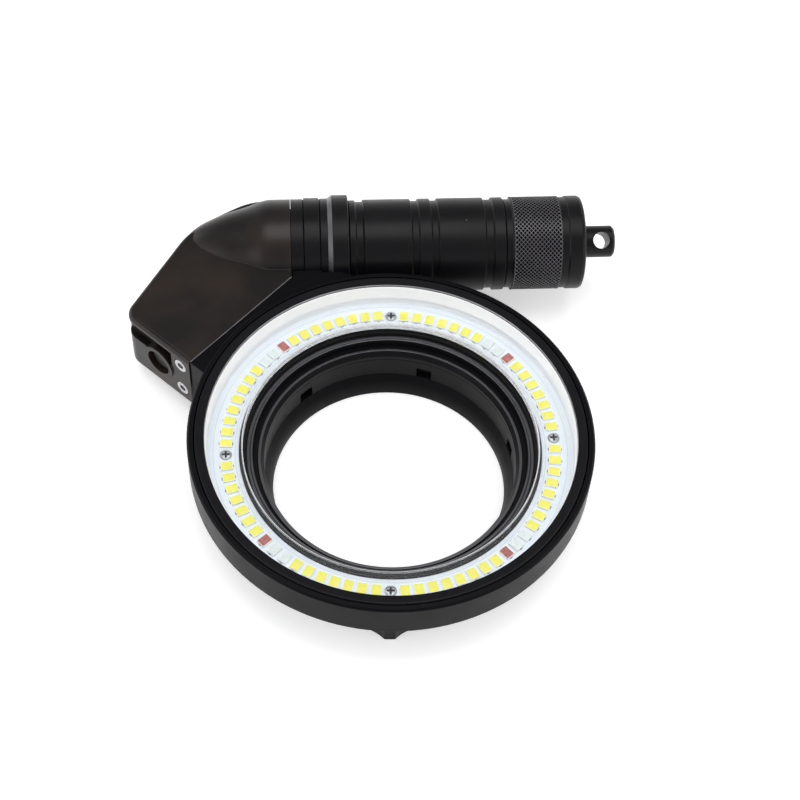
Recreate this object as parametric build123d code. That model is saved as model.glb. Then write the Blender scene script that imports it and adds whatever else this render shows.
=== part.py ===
from build123d import *
import os
from math import atan2, cos, degrees, radians, sin, sqrt

os.makedirs("parts", exist_ok=True)

# Frame: the ring axis is Z, the lamps look up, and Z = 0 is the rear face of the lock ring.
# The battery tube is parallel to X, behind the ring, with its tail cap towards +X.
# The switch housing sits on a flat of the ring, whose outward normal has flat_bearing from X.

# Clearances
running = 0.05
slip = 0.10
seat = 0.05
seam = 0.30
# How far a cutter runs past the face that it cuts, or a boss into what it joins
past = 1.0

# Ring housing
ring_radius = 57.5
ring_width = 23.5
rim_height = 29.5
wall_depth = 11.3
rim_bevel = 0.6
rim_wall = 1.8
bezel_ledge = 2.1
bezel_depth = 3.5
channel_depth = 11.2
floor_thickness = 3.8
rear_step = 1.9
rear_bevel = 2.5

# Bezel
bezel_overhang = 1.1
bezel_crest_width = 0.6
bezel_lip_drop = 0.9
bezel_lip_edge = 0.25

# Window and seals
window_drop = 5.8
window_thickness = 2.8
window_bevel = 0.25
outer_seal_wall = 1.15
outer_seal_drop = 1.0
inner_seal_wall = 1.75

# Lamp board
board_thickness = 1.6
lamp_inset = 3.7
slot_count = 76
first_slot_bearing = 87.0
lamp_length = 3.5
lamp_width = 2.8
lamp_height = 0.62
lamp_rim = 0.28
lamp_pocket_depth = 0.25
phosphor_crown = 0.05
clear_lamp_height = 0.7
screw_slots = [0, 20, 38, 58]
red_slots = [9, 28, 47, 66]
clear_slots = [10, 11, 29, 30, 48, 49, 67, 68]
board_screw_head_radius = 1.7
board_screw_head_height = 0.65
board_screw_radius = 0.95
board_screw_length = 4.4

# Lens port, from its bore outwards
port_land = 3.0
port_step = 2.2
spigot_wall = 1.3
sleeve_wall = 1.9
journal_wall = 2.9
journal_rise = 4.1
notch_count = 6
notch_bearing = 10.5
notch_width = 4.6
notch_height = 4.2
notch_depth = 1.8

# Inner sleeve: heights below the ridge and steps inwards from it
ridge_width = 1.2
ridge_wall = 1.7
ridge_drop = 0.5
sleeve_length = 12.2
second_step = 0.6
third_step = 1.4
throat_step = 2.6
second_drop = 0.9
third_drop = 2.7
throat_drop = 4.6
throat_bevel = 1.5
ridge_bevel = 0.2
spigot_drop = 9.0

# Lock ring
lock_wall = 6.95
lobe_rise = 3.0
lobe_count = 6
lobe_bearing = -92.6
lobe_tip_half_width = 1.5
lobe_foot_half_width = 7.6
lobe_waist_half_width = 3.7
lobe_waist_rise = 1.1
lock_bevel = 0.5
washer_thickness = 0.45
washer_width = 5.0
retainer_rise = 2.0
retainer_size = 1.1
retainer_sink = 0.55
retainer_split = 2.5

# Flat of the ring
flat_bearing = 136.0
flat_rise = 2.1
flat_near = -20.2
wing_drop = 2.0
cradle_rise = 4.5
cradle_length = 9.7
wing_fade = 10.0
wire_pocket_width = 9.0
wire_pocket_reach = 5.0
gasket_thickness = 0.4
gasket_inset = 0.9

# Switch housing
housing_near = -20.5
housing_depth = 21.9
end_width = 26.75
wall_start_along = 5.0
wall_start_across = 33.0
collar_along = 23.264
collar_straight = 5.5
shoulder_points = [(31.7, 13.6), (19.2, 4.1)]
hump_stops = [(11.8, 1.6), (19.2, 3.9), (24.0, 5.7), (28.2, 7.8), (31.8, 10.2), (34.5, 14.8)]
corner_round = 5.0
edge_round = 1.6
end_wall = 9.0
cavity_length = 25.5
cavity_across = 25.1
cavity_floor = 3.4
front_wall = 1.6
mouth_foot = 1.9
mouth_top = 3.1
rail_width = 1.6
recess_right = 7.6
recess_left = 24.0
recess_drop = 8.5
recess_height = 6.0
recess_depth = 2.4

# Button and switch
button_across = 13.1
button_drop = 11.6
button_radius = 4.0
button_gap = 0.2
button_sink = 1.2
button_thickness = 2.6
button_edge = 0.5
button_bore_depth = 6.2
boss_width = 1.6
boss_rise = 0.5
stem_radius = 1.8
stem_tail = 0.9
clip_radius = 2.9
clip_thickness = 0.5
clip_bite = 0.4
button_seal_wall = 1.3
button_seal_width = 1.0
spring_wire = 0.35
spring_radius = 2.75
spring_turns = 2.0
switch_gap = 0.65
plunger_radius = 1.5
plunger_length = 1.2
switch_size = 6.2
switch_depth = 3.6
carrier_plate = 2.0
carrier_shelf = 2.0
carrier_arm_width = 5.0
side_screw_across = 3.8
side_screw_drops = [5.3, 16.3]
side_screw_head_radius = 2.25
side_screw_head_height = 2.4
side_screw_radius = 1.25
side_screw_length = 12.0
side_screw_socket = 2.1
side_screw_socket_depth = 1.4
plug_place = 0.757
plug_drop = 10.0
plug_radius = 2.6
plug_proud = 0.5
plug_length = 3.0

# Driver board
driver_width = 22.0
driver_inset = 1.0
driver_thickness = 1.2
choke_radius = 3.6
choke_height = 3.8
choke_inset = 5.6
choke_across = 19.0
capacitor_radius = 2.2
capacitor_height = 6.0
capacitor_inset = 3.7
capacitor_across = 20.0
chip_size = 5.0
chip_height = 1.6
chip_inset = 7.1
chip_across = 6.0
diode_length = 3.0
diode_width = 4.0
diode_inset = 3.1
diode_across = 11.5
wire_radius = 0.55
wire_spread = 1.2
wire_bend = 2.5
wire_corner = 2.2
wire_way_room = 1.2
wire_landing = 6.9
lamp_wire_sink = 1.2
lamp_wire_start = 1.0
lamp_wire_reach = 5.0

# Flat screws between ring and housing
flat_screw_alongs = [-17.0, 18.0]
flat_screw_drop = 7.75
flat_screw_head_radius = 1.8
flat_screw_head_height = 1.6
flat_screw_sink = 2.5
flat_screw_radius = 1.0
flat_screw_length = 11.0
flat_screw_entry = 6.0

# Battery tube, by lengths from the housing to the tail
tube_gap = 1.15
tube_drop = 8.0
collar_radius = 14.8
collar_length = 3.85
union_radius = 15.1
union_length = 4.95
shoulder_radius = 14.85
shoulder_length = 2.2
nut_radius = 15.85
nut_length = 6.4
nut_taper = 1.45
body_radius = 14.3
body_length = 47.8
groove_depth = 0.65
groove_starts = [1.95, 18.95, 24.95, 41.35]
groove_widths = [2.7, 2.6, 2.5, 2.9]
groove_slope = 0.4
nose_radius = 14.15
chamber_radius = 11.0
neck_spigot_radius = 11.8
neck_spigot_length = 13.0
neck_bore_radius = 8.6
neck_bevel = 0.4
neck_web = 2.2
neck_seal_insets = [1.1, 5.6]
joint_spigot_radius = 12.3
joint_spigot_length = 11.7
tail_spigot_radius = 12.5
tail_spigot_length = 10.55
spigot_bevel = 0.5
tail_spigot_room = 1.2
tail_seal_insets = [2.15, 4.75]
seal_size = 1.3
seal_groove_depth = 1.1
cap_length = 24.2
cap_front_groove = 1.8
grip_radius = 14.2
grip_length = 14.6
cap_rear_groove = 2.5
end_radius = 14.4
end_bevel = 1.3
end_thickness = 4.0

# Cell and contacts
cell_radius = 10.6
cell_length = 70.0
cell_edge = 0.5
nub_radius = 3.6
nub_length = 1.4
chamber_front = 2.7
insulator_thickness = 2.6
insulator_boss_wall = 3.3
insulator_boss_length = 2.4
pin_radius = 1.6
pin_length = 4.8
contact_radius = 3.4
contact_thickness = 0.9
tail_disc_thickness = 1.4
tail_spring_wire = 0.9
tail_spring_radius = 5.6
tail_spring_turns = 3.5

# Lanyard post
post_radius = 4.9
post_length = 10.4
post_neck = 0.6
post_bevel = 0.8
post_hole_radius = 2.55
post_hole_inset = 4.3
post_hole_tilt = 54.7
post_flare_start = 0.2
post_flare_width = 0.6
post_flare_length = 1.4
post_spigot_radius = 2.4
post_spigot_length = 3.2

# Heights of the ring
wall_foot = rim_height - wall_depth
bezel_seat = rim_height - bezel_depth
channel_floor = rim_height - channel_depth
rear_face = channel_floor - floor_thickness
window_top = rim_height - window_drop
window_bottom = window_top - window_thickness
board_bottom = channel_floor + seat
board_top = board_bottom + board_thickness
ridge_top = window_top - ridge_drop
sleeve_foot = ridge_top - sleeve_length
spigot_seat = ridge_top - spigot_drop
band_top = sleeve_foot - journal_rise
retainer_foot = band_top + retainer_rise
lock_top = rear_face - washer_thickness - 3 * seat

# Radii of the ring, from the port outwards and from the rim inwards
port_radius = ring_radius - ring_width
throat_radius = port_radius + port_step
spigot_radius = throat_radius + spigot_wall
sleeve_radius = spigot_radius + slip + sleeve_wall
journal_radius = spigot_radius + journal_wall
ridge_radius = sleeve_radius + ridge_wall
ridge_inner_radius = ridge_radius - ridge_width
inner_seal_radius = ridge_radius + seat
board_inner_radius = inner_seal_radius + inner_seal_wall + 4 * seat
lock_radius = journal_radius + running + lock_wall
rim_land_radius = ring_radius - rim_wall
channel_radius = rim_land_radius - bezel_ledge
bezel_radius = rim_land_radius - seam
outer_seal_radius = channel_radius - slip - outer_seal_wall
board_radius = outer_seal_radius - seat
window_inner_radius = inner_seal_radius + inner_seal_wall / 5
lamp_circle = board_inner_radius + lamp_inset

# Places of the housing, along the flat (a), away from the ring axis (b) and up
flat_turn = radians(flat_bearing - 90)
flat_distance = ring_radius + flat_rise
housing_face = flat_distance + gasket_thickness
wing_top = rim_height - wing_drop
housing_foot = wing_top - housing_depth
housing_collar = collar_along * cos(flat_turn) - housing_face * sin(flat_turn)
cradle_start = housing_collar + seam
cradle_end = cradle_start + cradle_length
wing_end = cradle_end + wing_fade
cavity_near = housing_near + end_wall
cavity_far = cavity_near + cavity_length
cavity_end = housing_face + cavity_across
cavity_foot = housing_foot + cavity_floor
cavity_top = wing_top - mouth_top
cavity_mouth = rear_face + mouth_foot
button_b = housing_face + button_across
button_z = wing_top - button_drop
button_face = housing_near + button_sink
stem_end = cavity_near + stem_tail
switch_front = stem_end + switch_gap + plunger_length
switch_back = switch_front + switch_depth
plate_near = switch_back + seat
plate_far = plate_near + carrier_plate
lamp_wire_z = channel_floor - lamp_wire_sink
driver_top = lamp_wire_z - wire_radius - seat
driver_bottom = driver_top - driver_thickness
flat_screw_z = wing_top - flat_screw_drop

# Places of the battery tube along X
tube_y = ring_radius + tube_gap + nut_radius
tube_z = rim_height - tube_drop
neck_start = housing_collar + slip
union_start = neck_start + collar_length
union_end = union_start + union_length
neck_end = union_end + shoulder_length
nut_start = neck_end + seat
nut_end = nut_start + nut_length
body_start = nut_end + slip
body_end = body_start + body_length
cap_start = body_end + slip
cap_end = cap_start + cap_length
cap_chamber_end = cap_end - end_thickness
tail_spigot_end = body_end + tail_spigot_length
chamber_start = neck_start + chamber_front
contact_start = chamber_start + insulator_thickness + seat
cell_front = contact_start + contact_thickness + seat + nub_length
cell_rear = cell_front - nub_length + cell_length
post_end = cap_end + post_length


def turned(outline):
    """Solid turned about the ring axis from a closed outline of (radius, height) pairs."""
    face = make_face(Plane.XZ * Polyline(*outline, close=True))
    return revolve(face, Axis.Z)


def turned_tube(outline):
    """Solid turned about the battery axis from a closed outline of (x, radius) pairs."""
    face = make_face(Polyline(*outline, close=True))
    return Pos(0, tube_y, tube_z) * revolve(face, Axis.X)


def ring_of(outer, inner, foot, top):
    """Plain ring about the ring axis."""
    return turned([(inner, foot), (outer, foot), (outer, top), (inner, top)])


def tube_ring(outer, inner, start, end):
    """Plain ring about the battery axis."""
    return turned_tube([(start, inner), (end, inner), (end, outer), (start, outer)])


def tube_disc(radius, start, end):
    """Plain disc or pin on the battery axis."""
    return turned_tube([(start, 0), (end, 0), (end, radius), (start, radius)])


def at_flat(shape):
    """Turns a shape built along X (along the flat) and Y (away from the ring) to the flat."""
    return shape.rotate(Axis.Z, flat_bearing - 90)


def flat_point(along, across):
    """World X and Y of a point along the flat and away from the ring axis."""
    x = along * cos(flat_turn) - across * sin(flat_turn)
    y = along * sin(flat_turn) + across * cos(flat_turn)
    return (x, y)


def from_world(x, y):
    """Distances along the flat and away from the ring axis of a world point."""
    along = x * cos(flat_turn) + y * sin(flat_turn)
    across = -x * sin(flat_turn) + y * cos(flat_turn)
    return (along, across)


def along_at_x(x, across):
    """Place along the flat where a line at a given distance from the ring meets a world X."""
    return (x + across * sin(flat_turn)) / cos(flat_turn)


def flat_box(along, across, height):
    """Box between pairs of limits along the flat, away from the ring and upwards."""
    size = (along[1] - along[0], across[1] - across[0], height[1] - height[0])
    centre = (sum(along) / 2, sum(across) / 2, sum(height) / 2)
    return at_flat(Pos(*centre) * Box(*size))


def rod_along(radius, start, end, across, height):
    """Rod parallel to the flat."""
    shape = Pos((start + end) / 2, across, height) * Rot(0, 90, 0) * Cylinder(radius, end - start)
    return at_flat(shape)


def rod_across(radius, start, end, along, height):
    """Rod square to the flat."""
    shape = Pos(along, (start + end) / 2, height) * Rot(90, 0, 0) * Cylinder(radius, end - start)
    return at_flat(shape)


def button_rod(radius, start, end):
    """Rod on the button's axis."""
    return rod_along(radius, start, end, button_b, button_z)


def slot_bearing(slot):
    """Bearing of a lamp slot in degrees."""
    return first_slot_bearing + slot * 360 / slot_count


def around(shape, slots):
    """Copies of a shape that stands on the X side, turned to each lamp slot."""
    return [shape.rotate(Axis.Z, slot_bearing(slot)) for slot in slots]


def wire_through(points, bend):
    """Round wire along straight runs joined by arcs."""
    path = FilletPolyline(*points, radius=bend) if len(points) > 2 else Line(*points)
    section = Plane(origin=path @ 0, z_dir=path % 0) * Circle(wire_radius)
    return sweep(section, path=path)


def coil(radius, wire, height, turns):
    """Square wire wound round the Z axis from Z = 0 up."""
    path = Helix(height / turns, height, radius)
    section = Plane(origin=path @ 0, z_dir=path % 0) * Rectangle(wire, wire)
    return sweep(section, path=path, is_frenet=True)


def save(name, *shapes):
    """Writes one node."""
    solid = shapes[0] if len(shapes) == 1 else Compound(children=list(shapes))
    export_step(solid, "parts/" + name + ".step")


# Ring housing: one turned body with a channel for the lamp board and a wing with the flat
def wing():
    along_far = along_at_x(cradle_start, flat_distance)
    root = ring_radius - rear_step - rear_bevel - past
    outline = Polyline(
        flat_point(flat_near, flat_distance),
        flat_point(along_far, flat_distance),
        (cradle_start, ring_radius + cradle_rise),
        (cradle_end, ring_radius + cradle_rise),
        (wing_end, sqrt(ring_radius ** 2 - wing_end ** 2)),
        (wing_end, sqrt(root ** 2 - wing_end ** 2)),
        flat_point(flat_near, sqrt(root ** 2 - flat_near ** 2)),
        close=True,
    )
    blank = extrude(make_face(Pos(0, 0, rear_face) * outline), wing_top - rear_face)
    tube_room = tube_disc(union_radius + seam, housing_collar - past, body_end)
    nut_room = tube_disc(nut_radius + seam, union_end + seam, body_end)
    wall = ring_radius - rim_wall / 2
    ledge = channel_radius + bezel_ledge / 2
    core = turned([
        (throat_radius, rear_face - past),
        (root, rear_face - past),
        (root, channel_floor - past),
        (ledge, channel_floor - past),
        (ledge, bezel_seat - past),
        (wall, bezel_seat - past),
        (wall, wing_top + past),
        (throat_radius, wing_top + past),
    ])
    return blank - tube_room - nut_room - core


def flat_screw_seat(along):
    """Distance from the ring axis at which a flat screw's head stops in the channel wall."""
    return sqrt(channel_radius ** 2 - along ** 2) + flat_screw_sink


def ring_housing():
    body = turned([
        (sleeve_radius + slip, rear_face),
        (ring_radius - rear_step - rear_bevel, rear_face),
        (ring_radius - rear_step, rear_face + rear_bevel),
        (ring_radius - rear_step, wall_foot),
        (ring_radius, wall_foot),
        (ring_radius, rim_height - rim_bevel),
        (ring_radius - rim_bevel, rim_height),
        (rim_land_radius, rim_height),
        (rim_land_radius, bezel_seat),
        (channel_radius, bezel_seat),
        (channel_radius, channel_floor),
        (sleeve_radius + slip, channel_floor),
    ])
    body = body + wing()
    depth = 2 * (board_screw_length - board_thickness + slip)
    hole = Pos(lamp_circle, 0, channel_floor) * Cylinder(board_screw_radius + seat, depth)
    for copy in around(hole, screw_slots):
        body = body - copy
    wire_room = wire_radius + slip
    half = wire_pocket_width / 2
    pocket_far = lamp_circle + wire_pocket_reach
    body = body - flat_box((-half, half), (lamp_circle, pocket_far), (lamp_wire_z - wire_room, channel_floor))
    for side in (-wire_spread, wire_spread):
        body = body - rod_across(wire_room, pocket_far - past, housing_face, side, lamp_wire_z)
    for along in flat_screw_alongs:
        end = flat_screw_seat(along)
        body = body - rod_across(flat_screw_radius + slip, end - past, housing_face, along, flat_screw_z)
        entry = end - flat_screw_entry
        body = body - rod_across(flat_screw_head_radius + slip, entry, end, along, flat_screw_z)
    return body


def bezel_ring():
    lip = rim_height - bezel_lip_drop
    inner = channel_radius - bezel_overhang
    return turned([
        (inner, lip),
        (channel_radius + slip, lip),
        (channel_radius + slip, bezel_seat + slip),
        (bezel_radius, bezel_seat + slip),
        (bezel_radius, rim_height - bezel_lip_edge),
        (bezel_radius - bezel_lip_edge, rim_height),
        (bezel_radius - bezel_crest_width, rim_height),
        (inner, lip + bezel_lip_edge),
    ])


# Window with broken edges, and the two rings that it seals on
def cover_window():
    return turned([
        (window_inner_radius, window_bottom),
        (board_radius, window_bottom),
        (board_radius, window_top - window_bevel),
        (board_radius - window_bevel, window_top),
        (window_inner_radius + window_bevel, window_top),
        (window_inner_radius, window_top - window_bevel),
    ])


def outer_window_seal():
    return ring_of(channel_radius - slip, outer_seal_radius, board_bottom, rim_height - outer_seal_drop)


def inner_window_seal():
    outer = inner_seal_radius + inner_seal_wall
    return ring_of(outer, inner_seal_radius, board_bottom, window_bottom - seat)


# Lamp board with its lamps
def lamp_board():
    board = ring_of(board_radius, board_inner_radius, board_bottom, board_top)
    hole = Pos(lamp_circle, 0, board_top) * Cylinder(board_screw_radius + slip, 4 * board_thickness)
    for copy in around(hole, screw_slots):
        board = board - copy
    return board


def lamp_block(length, width, foot, height):
    return Pos(lamp_circle, 0, foot + height / 2) * Box(length, width, height)


def lamp_pocket(height):
    foot = board_top + lamp_height - lamp_pocket_depth
    return lamp_block(lamp_length - 2 * lamp_rim, lamp_width - 2 * lamp_rim, foot, height)


def white_slots():
    taken = screw_slots + red_slots + clear_slots
    return [slot for slot in range(slot_count) if slot not in taken]


def white_lamp_bodies():
    block = lamp_block(lamp_length, lamp_width, board_top, lamp_height)
    return around(block - lamp_pocket(lamp_height), white_slots())


def white_lamp_phosphors():
    return around(lamp_pocket(lamp_pocket_depth + phosphor_crown), white_slots())


def red_lamps():
    return around(lamp_block(lamp_length, lamp_width, board_top, clear_lamp_height), red_slots)


def clear_lamps():
    return around(lamp_block(lamp_length, lamp_width, board_top, clear_lamp_height), clear_slots)


def board_screws():
    head = Pos(lamp_circle, 0, board_top + board_screw_head_height / 2)
    head = head * Cylinder(board_screw_head_radius, board_screw_head_height)
    shank = Pos(lamp_circle, 0, board_top - board_screw_length / 2)
    shank = shank * Cylinder(board_screw_radius, board_screw_length)
    return around(head + shank, screw_slots)


# Inner sleeve: the stepped throat seen inside the lamps
def inner_sleeve():
    bevel = ridge_bevel
    return turned([
        (sleeve_radius, sleeve_foot),
        (sleeve_radius, channel_floor + seat),
        (ridge_radius, channel_floor + seat),
        (ridge_radius, ridge_top - bevel),
        (ridge_radius - bevel, ridge_top),
        (ridge_inner_radius, ridge_top),
        (ridge_inner_radius - second_step, ridge_top - second_drop),
        (ridge_inner_radius - second_step, ridge_top - third_drop + bevel),
        (ridge_inner_radius - third_step, ridge_top - third_drop),
        (ridge_inner_radius - third_step, ridge_top - throat_drop + 2 * bevel),
        (ridge_inner_radius - throat_step, ridge_top - throat_drop),
        (throat_radius, ridge_top - throat_drop - throat_bevel),
        (throat_radius, spigot_seat),
        (spigot_radius + slip, spigot_seat),
        (spigot_radius + slip, sleeve_foot),
    ])


# Journal sleeve: closes the throat from behind and carries the lock ring on its journal
def journal_sleeve():
    shoulder = sleeve_foot - seat
    groove_foot = retainer_foot - slip
    groove_top = retainer_foot + retainer_size + slip
    groove = journal_radius - retainer_sink
    body = turned([
        (throat_radius, band_top + slip),
        (journal_radius, band_top + slip),
        (journal_radius, groove_foot),
        (groove, groove_foot),
        (groove, groove_top),
        (journal_radius, groove_top),
        (journal_radius, shoulder),
        (spigot_radius, shoulder),
        (spigot_radius, spigot_seat - slip),
        (throat_radius, spigot_seat - slip),
    ])
    foot = band_top
    cutter = Pos(throat_radius, 0, foot + notch_height / 2)
    cutter = cutter * Box(2 * notch_depth, notch_width, notch_height)
    for index in range(notch_count):
        body = body - cutter.rotate(Axis.Z, notch_bearing + index * 360 / notch_count)
    return body


def retaining_ring():
    """Snap ring that is split at one side, half in the journal and half in the lock ring."""
    inner = journal_radius - retainer_sink + slip
    ring = ring_of(inner + retainer_size, inner, retainer_foot, retainer_foot + retainer_size)
    split = Pos(journal_radius, 0, retainer_foot) * Box(4 * retainer_size, retainer_split, 4 * retainer_size)
    return ring - split.rotate(Axis.Z, flat_bearing)


# Lock ring: the port bore and its cone inside, six finger lobes with hollow flanks outside
def lobe():
    foot = sqrt(lock_radius ** 2 - lobe_foot_half_width ** 2)
    waist = lock_radius + lobe_waist_rise
    tip = lock_radius + lobe_rise
    right = ThreePointArc(
        (tip, -lobe_tip_half_width),
        (waist, -lobe_waist_half_width),
        (foot, -lobe_foot_half_width),
    )
    left = ThreePointArc(
        (foot, lobe_foot_half_width),
        (waist, lobe_waist_half_width),
        (tip, lobe_tip_half_width),
    )
    inside = Polyline(
        (foot, -lobe_foot_half_width),
        (foot - 2 * past, -lobe_foot_half_width),
        (foot - 2 * past, lobe_foot_half_width),
        (foot, lobe_foot_half_width),
    )
    end = Line((tip, lobe_tip_half_width), (tip, -lobe_tip_half_width))
    return extrude(make_face([right, inside, left, end]), lock_top)


def lock_ring():
    bore = journal_radius + running
    groove = journal_radius - retainer_sink + slip + retainer_size + slip
    body = turned([
        (port_radius, 0),
        (lock_radius - lock_bevel, 0),
        (lock_radius, lock_bevel),
        (lock_radius, lock_top - lock_bevel),
        (lock_radius - lock_bevel, lock_top),
        (bore, lock_top),
        (bore, retainer_foot + retainer_size + slip),
        (groove, retainer_foot + retainer_size + slip),
        (groove, retainer_foot - slip),
        (bore, retainer_foot - slip),
        (bore, band_top),
        (throat_radius, band_top),
        (port_radius, port_land),
    ])
    for index in range(lobe_count):
        body = body + lobe().rotate(Axis.Z, lobe_bearing + index * 360 / lobe_count)
    return body


def lock_washer():
    top = rear_face - seat
    outer = lock_radius - lock_bevel
    return ring_of(outer, outer - washer_width, top - washer_thickness, top)


# Switch housing: a flat-topped wedge on the flat of the ring, into which the round hump over
# the battery axis runs out; hollow inside and open towards the ring
def housing_corner():
    return flat_point(housing_near, housing_face + end_width)


def wall_start():
    return flat_point(wall_start_along, housing_face + wall_start_across)


def housing_outline():
    corner = housing_corner()
    start = wall_start()
    back = tube_y + collar_radius
    collar_near = flat_point(along_at_x(housing_collar, housing_face), housing_face)
    near = flat_point(housing_near, housing_face)
    end = (housing_collar - collar_straight, back)
    wall = (start[0] - corner[0], start[1] - corner[1])
    stops = [(housing_collar - x, back - y) for x, y in shoulder_points]
    curve = Spline(start, *stops, end, tangents=[wall, (1, 0)])
    lines = [
        Line(near, corner),
        Line(corner, start),
        curve,
        Line(end, (housing_collar, back)),
        Line((housing_collar, back), collar_near),
        Line(collar_near, near),
    ]
    return make_face(lines)


def hump():
    """Round hood over the battery axis, blunt at its front end."""
    stops = [(housing_collar - x, collar_radius - drop) for x, drop in hump_stops]
    start = (housing_collar - collar_straight, collar_radius)
    crest = Spline(start, *stops, tangents=[(-1, 0), (0, -1)])
    face = make_face([
        Line((housing_collar, collar_radius), start),
        crest,
        Line(stops[-1], (housing_collar, 0)),
        Line((housing_collar, 0), (housing_collar, collar_radius)),
    ])
    return Pos(0, tube_y, tube_z) * revolve(face, Axis.X)


def is_rim(edge):
    """Edges of the top and bottom faces, apart from those at the flat and at the collar."""
    centre = edge.center()
    level = min(abs(centre.Z - wing_top), abs(centre.Z - housing_foot)) < 0.01
    on_flat = abs(from_world(centre.X, centre.Y)[1] - housing_face) < 0.2
    on_collar = abs(centre.X - housing_collar) < 0.2
    return level and not on_flat and not on_collar


def is_corner(edge):
    centre = edge.center()
    corner = housing_corner()
    return abs(centre.X - corner[0]) < 0.5 and abs(centre.Y - corner[1]) < 0.5


def housing_shell():
    block = extrude(Pos(0, 0, housing_foot) * housing_outline(), housing_depth)
    block = fillet([e for e in block.edges().filter_by(Axis.Z) if is_corner(e)], corner_round)
    block = fillet([e for e in block.edges() if is_rim(e)], edge_round)
    above = extrude(Pos(0, 0, tube_z) * housing_outline(), collar_radius + past)
    return block + (hump() & above)


def end_recess():
    """Shallow slot in the end face that the boss round the button runs into."""
    foot = wing_top - recess_drop
    slot = flat_box(
        (housing_near - past, housing_near + recess_depth),
        (housing_face + recess_right, housing_face + recess_left + corner_round),
        (foot, foot + recess_height),
    )
    return slot - button_rod(boss_radius(), housing_near - 2 * past, housing_near + end_wall)


def boss_radius():
    return button_radius + button_gap + boss_width


def button_bore():
    mouth = button_rod(button_radius + button_gap, housing_near - past, housing_near + button_bore_depth)
    return mouth + button_rod(stem_radius + slip, housing_near, cavity_near + past)


def housing_cavity():
    mouth = flat_box(
        (cavity_near, cavity_far),
        (housing_face - past, cavity_end),
        (cavity_mouth, cavity_top),
    )
    board_room = flat_box(
        (cavity_near, cavity_far),
        (housing_face + front_wall, cavity_end),
        (driver_bottom - seat, cavity_top),
    )
    pit = flat_box(
        (cavity_near, cavity_far - rail_width),
        (housing_face + front_wall, cavity_end),
        (cavity_foot, cavity_top),
    )
    return mouth + board_room + pit


def neck_room():
    """Bore for the neck's spigot and the wire way from it to the cavity."""
    end = neck_start - neck_spigot_length - slip
    spigot = tube_disc(neck_spigot_radius + seat, end, housing_collar + past)
    along, across = from_world(end + wire_corner, tube_y)
    way = rod_along(wire_radius + wire_way_room, cavity_far - past, along, across, tube_z)
    return spigot + way


def side_screw_z():
    return [wing_top - drop for drop in side_screw_drops]


def side_rod(radius, start, end, height):
    return rod_along(radius, start, end, housing_face + side_screw_across, height)


def side_screw_holes():
    rods = []
    for height in side_screw_z():
        end = housing_near + side_screw_head_height
        rods.append(side_rod(side_screw_head_radius + slip, housing_near - past, end, height))
        rods.append(side_rod(side_screw_radius + slip, housing_near, cavity_near + past, height))
    return rods


def flat_screw_pilots():
    rods = []
    for along in flat_screw_alongs:
        end = flat_screw_seat(along) + flat_screw_length
        rods.append(rod_across(flat_screw_radius + seat, flat_distance, end, along, flat_screw_z))
    return rods


def plug_rod(radius, outside, inside):
    """Rod through the left wall, square to it."""
    corner = housing_corner()
    start = wall_start()
    x = corner[0] + plug_place * (start[0] - corner[0])
    y = corner[1] + plug_place * (start[1] - corner[1])
    bearing = degrees(atan2(start[1] - corner[1], start[0] - corner[0])) + 90
    rod = Pos((outside - inside) / 2, 0, 0) * Rot(0, 90, 0) * Cylinder(radius, outside + inside)
    return Pos(x, y, wing_top - plug_drop) * rod.rotate(Axis.Z, bearing)


def switch_housing():
    body = housing_shell() - housing_cavity() - neck_room() - end_recess()
    body = body + button_rod(boss_radius(), housing_near - boss_rise, housing_near + recess_depth)
    body = body - button_bore()
    for hole in side_screw_holes() + flat_screw_pilots():
        body = body - hole
    return body - plug_rod(plug_radius + seat, past, plug_length + slip)


def flat_gasket():
    across = (flat_distance + seat / 2, housing_face - seat / 2)
    heights = (rear_face + gasket_inset, wing_top - gasket_inset)
    far = along_at_x(cradle_start, flat_distance) - gasket_inset
    frame = flat_box((flat_near + gasket_inset, far), across, heights)
    start = flat_distance - past
    end = housing_face + past
    frame = frame - flat_box((cavity_near, cavity_far), (start, end), (cavity_mouth, cavity_top))
    for along in flat_screw_alongs:
        frame = frame - rod_across(flat_screw_radius + slip, start, end, along, flat_screw_z)
    return frame


def side_screws():
    screws = []
    top = housing_near - seat
    for height in side_screw_z():
        head = side_rod(side_screw_head_radius, top, housing_near + side_screw_head_height - seat, height)
        shank = side_rod(side_screw_radius, housing_near + past, housing_near + side_screw_length, height)
        key = RegularPolygon(side_screw_socket / 2, 6, major_radius=False)
        prism = Rot(0, 90, 0) * extrude(key, side_screw_socket_depth, both=True)
        socket = at_flat(Pos(top, housing_face + side_screw_across, height) * prism)
        screws.append(head + shank - socket)
    return screws


def flat_screws():
    screws = []
    for along in flat_screw_alongs:
        end = flat_screw_seat(along) - seat
        head = rod_across(flat_screw_head_radius, end - flat_screw_head_height, end, along, flat_screw_z)
        tip = end + flat_screw_length - slip
        screws.append(head + rod_across(flat_screw_radius, end - past, tip, along, flat_screw_z))
    return screws


def housing_plug():
    return plug_rod(plug_radius, plug_proud, plug_length)


# Push button with its clip, seal and spring, the switch behind it and the switch's carrier
def push_button():
    head = button_rod(button_radius, button_face, button_face + button_thickness)
    rim = sorted(head.edges().filter_by(GeomType.CIRCLE), key=lambda e: along_of(e.center()))[0]
    head = fillet(rim, button_edge)
    stem = button_rod(stem_radius, button_face + past, stem_end)
    groove = clip_ring(stem_radius + past, stem_radius - clip_bite, seat)
    return head + stem - groove


def along_of(point):
    return from_world(point.X, point.Y)[0]


def clip_ring(outer, inner, spare):
    start = cavity_near + slip - spare
    end = cavity_near + slip + clip_thickness + spare
    return button_rod(outer, start, end) - button_rod(inner, start - past, end + past)


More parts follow.
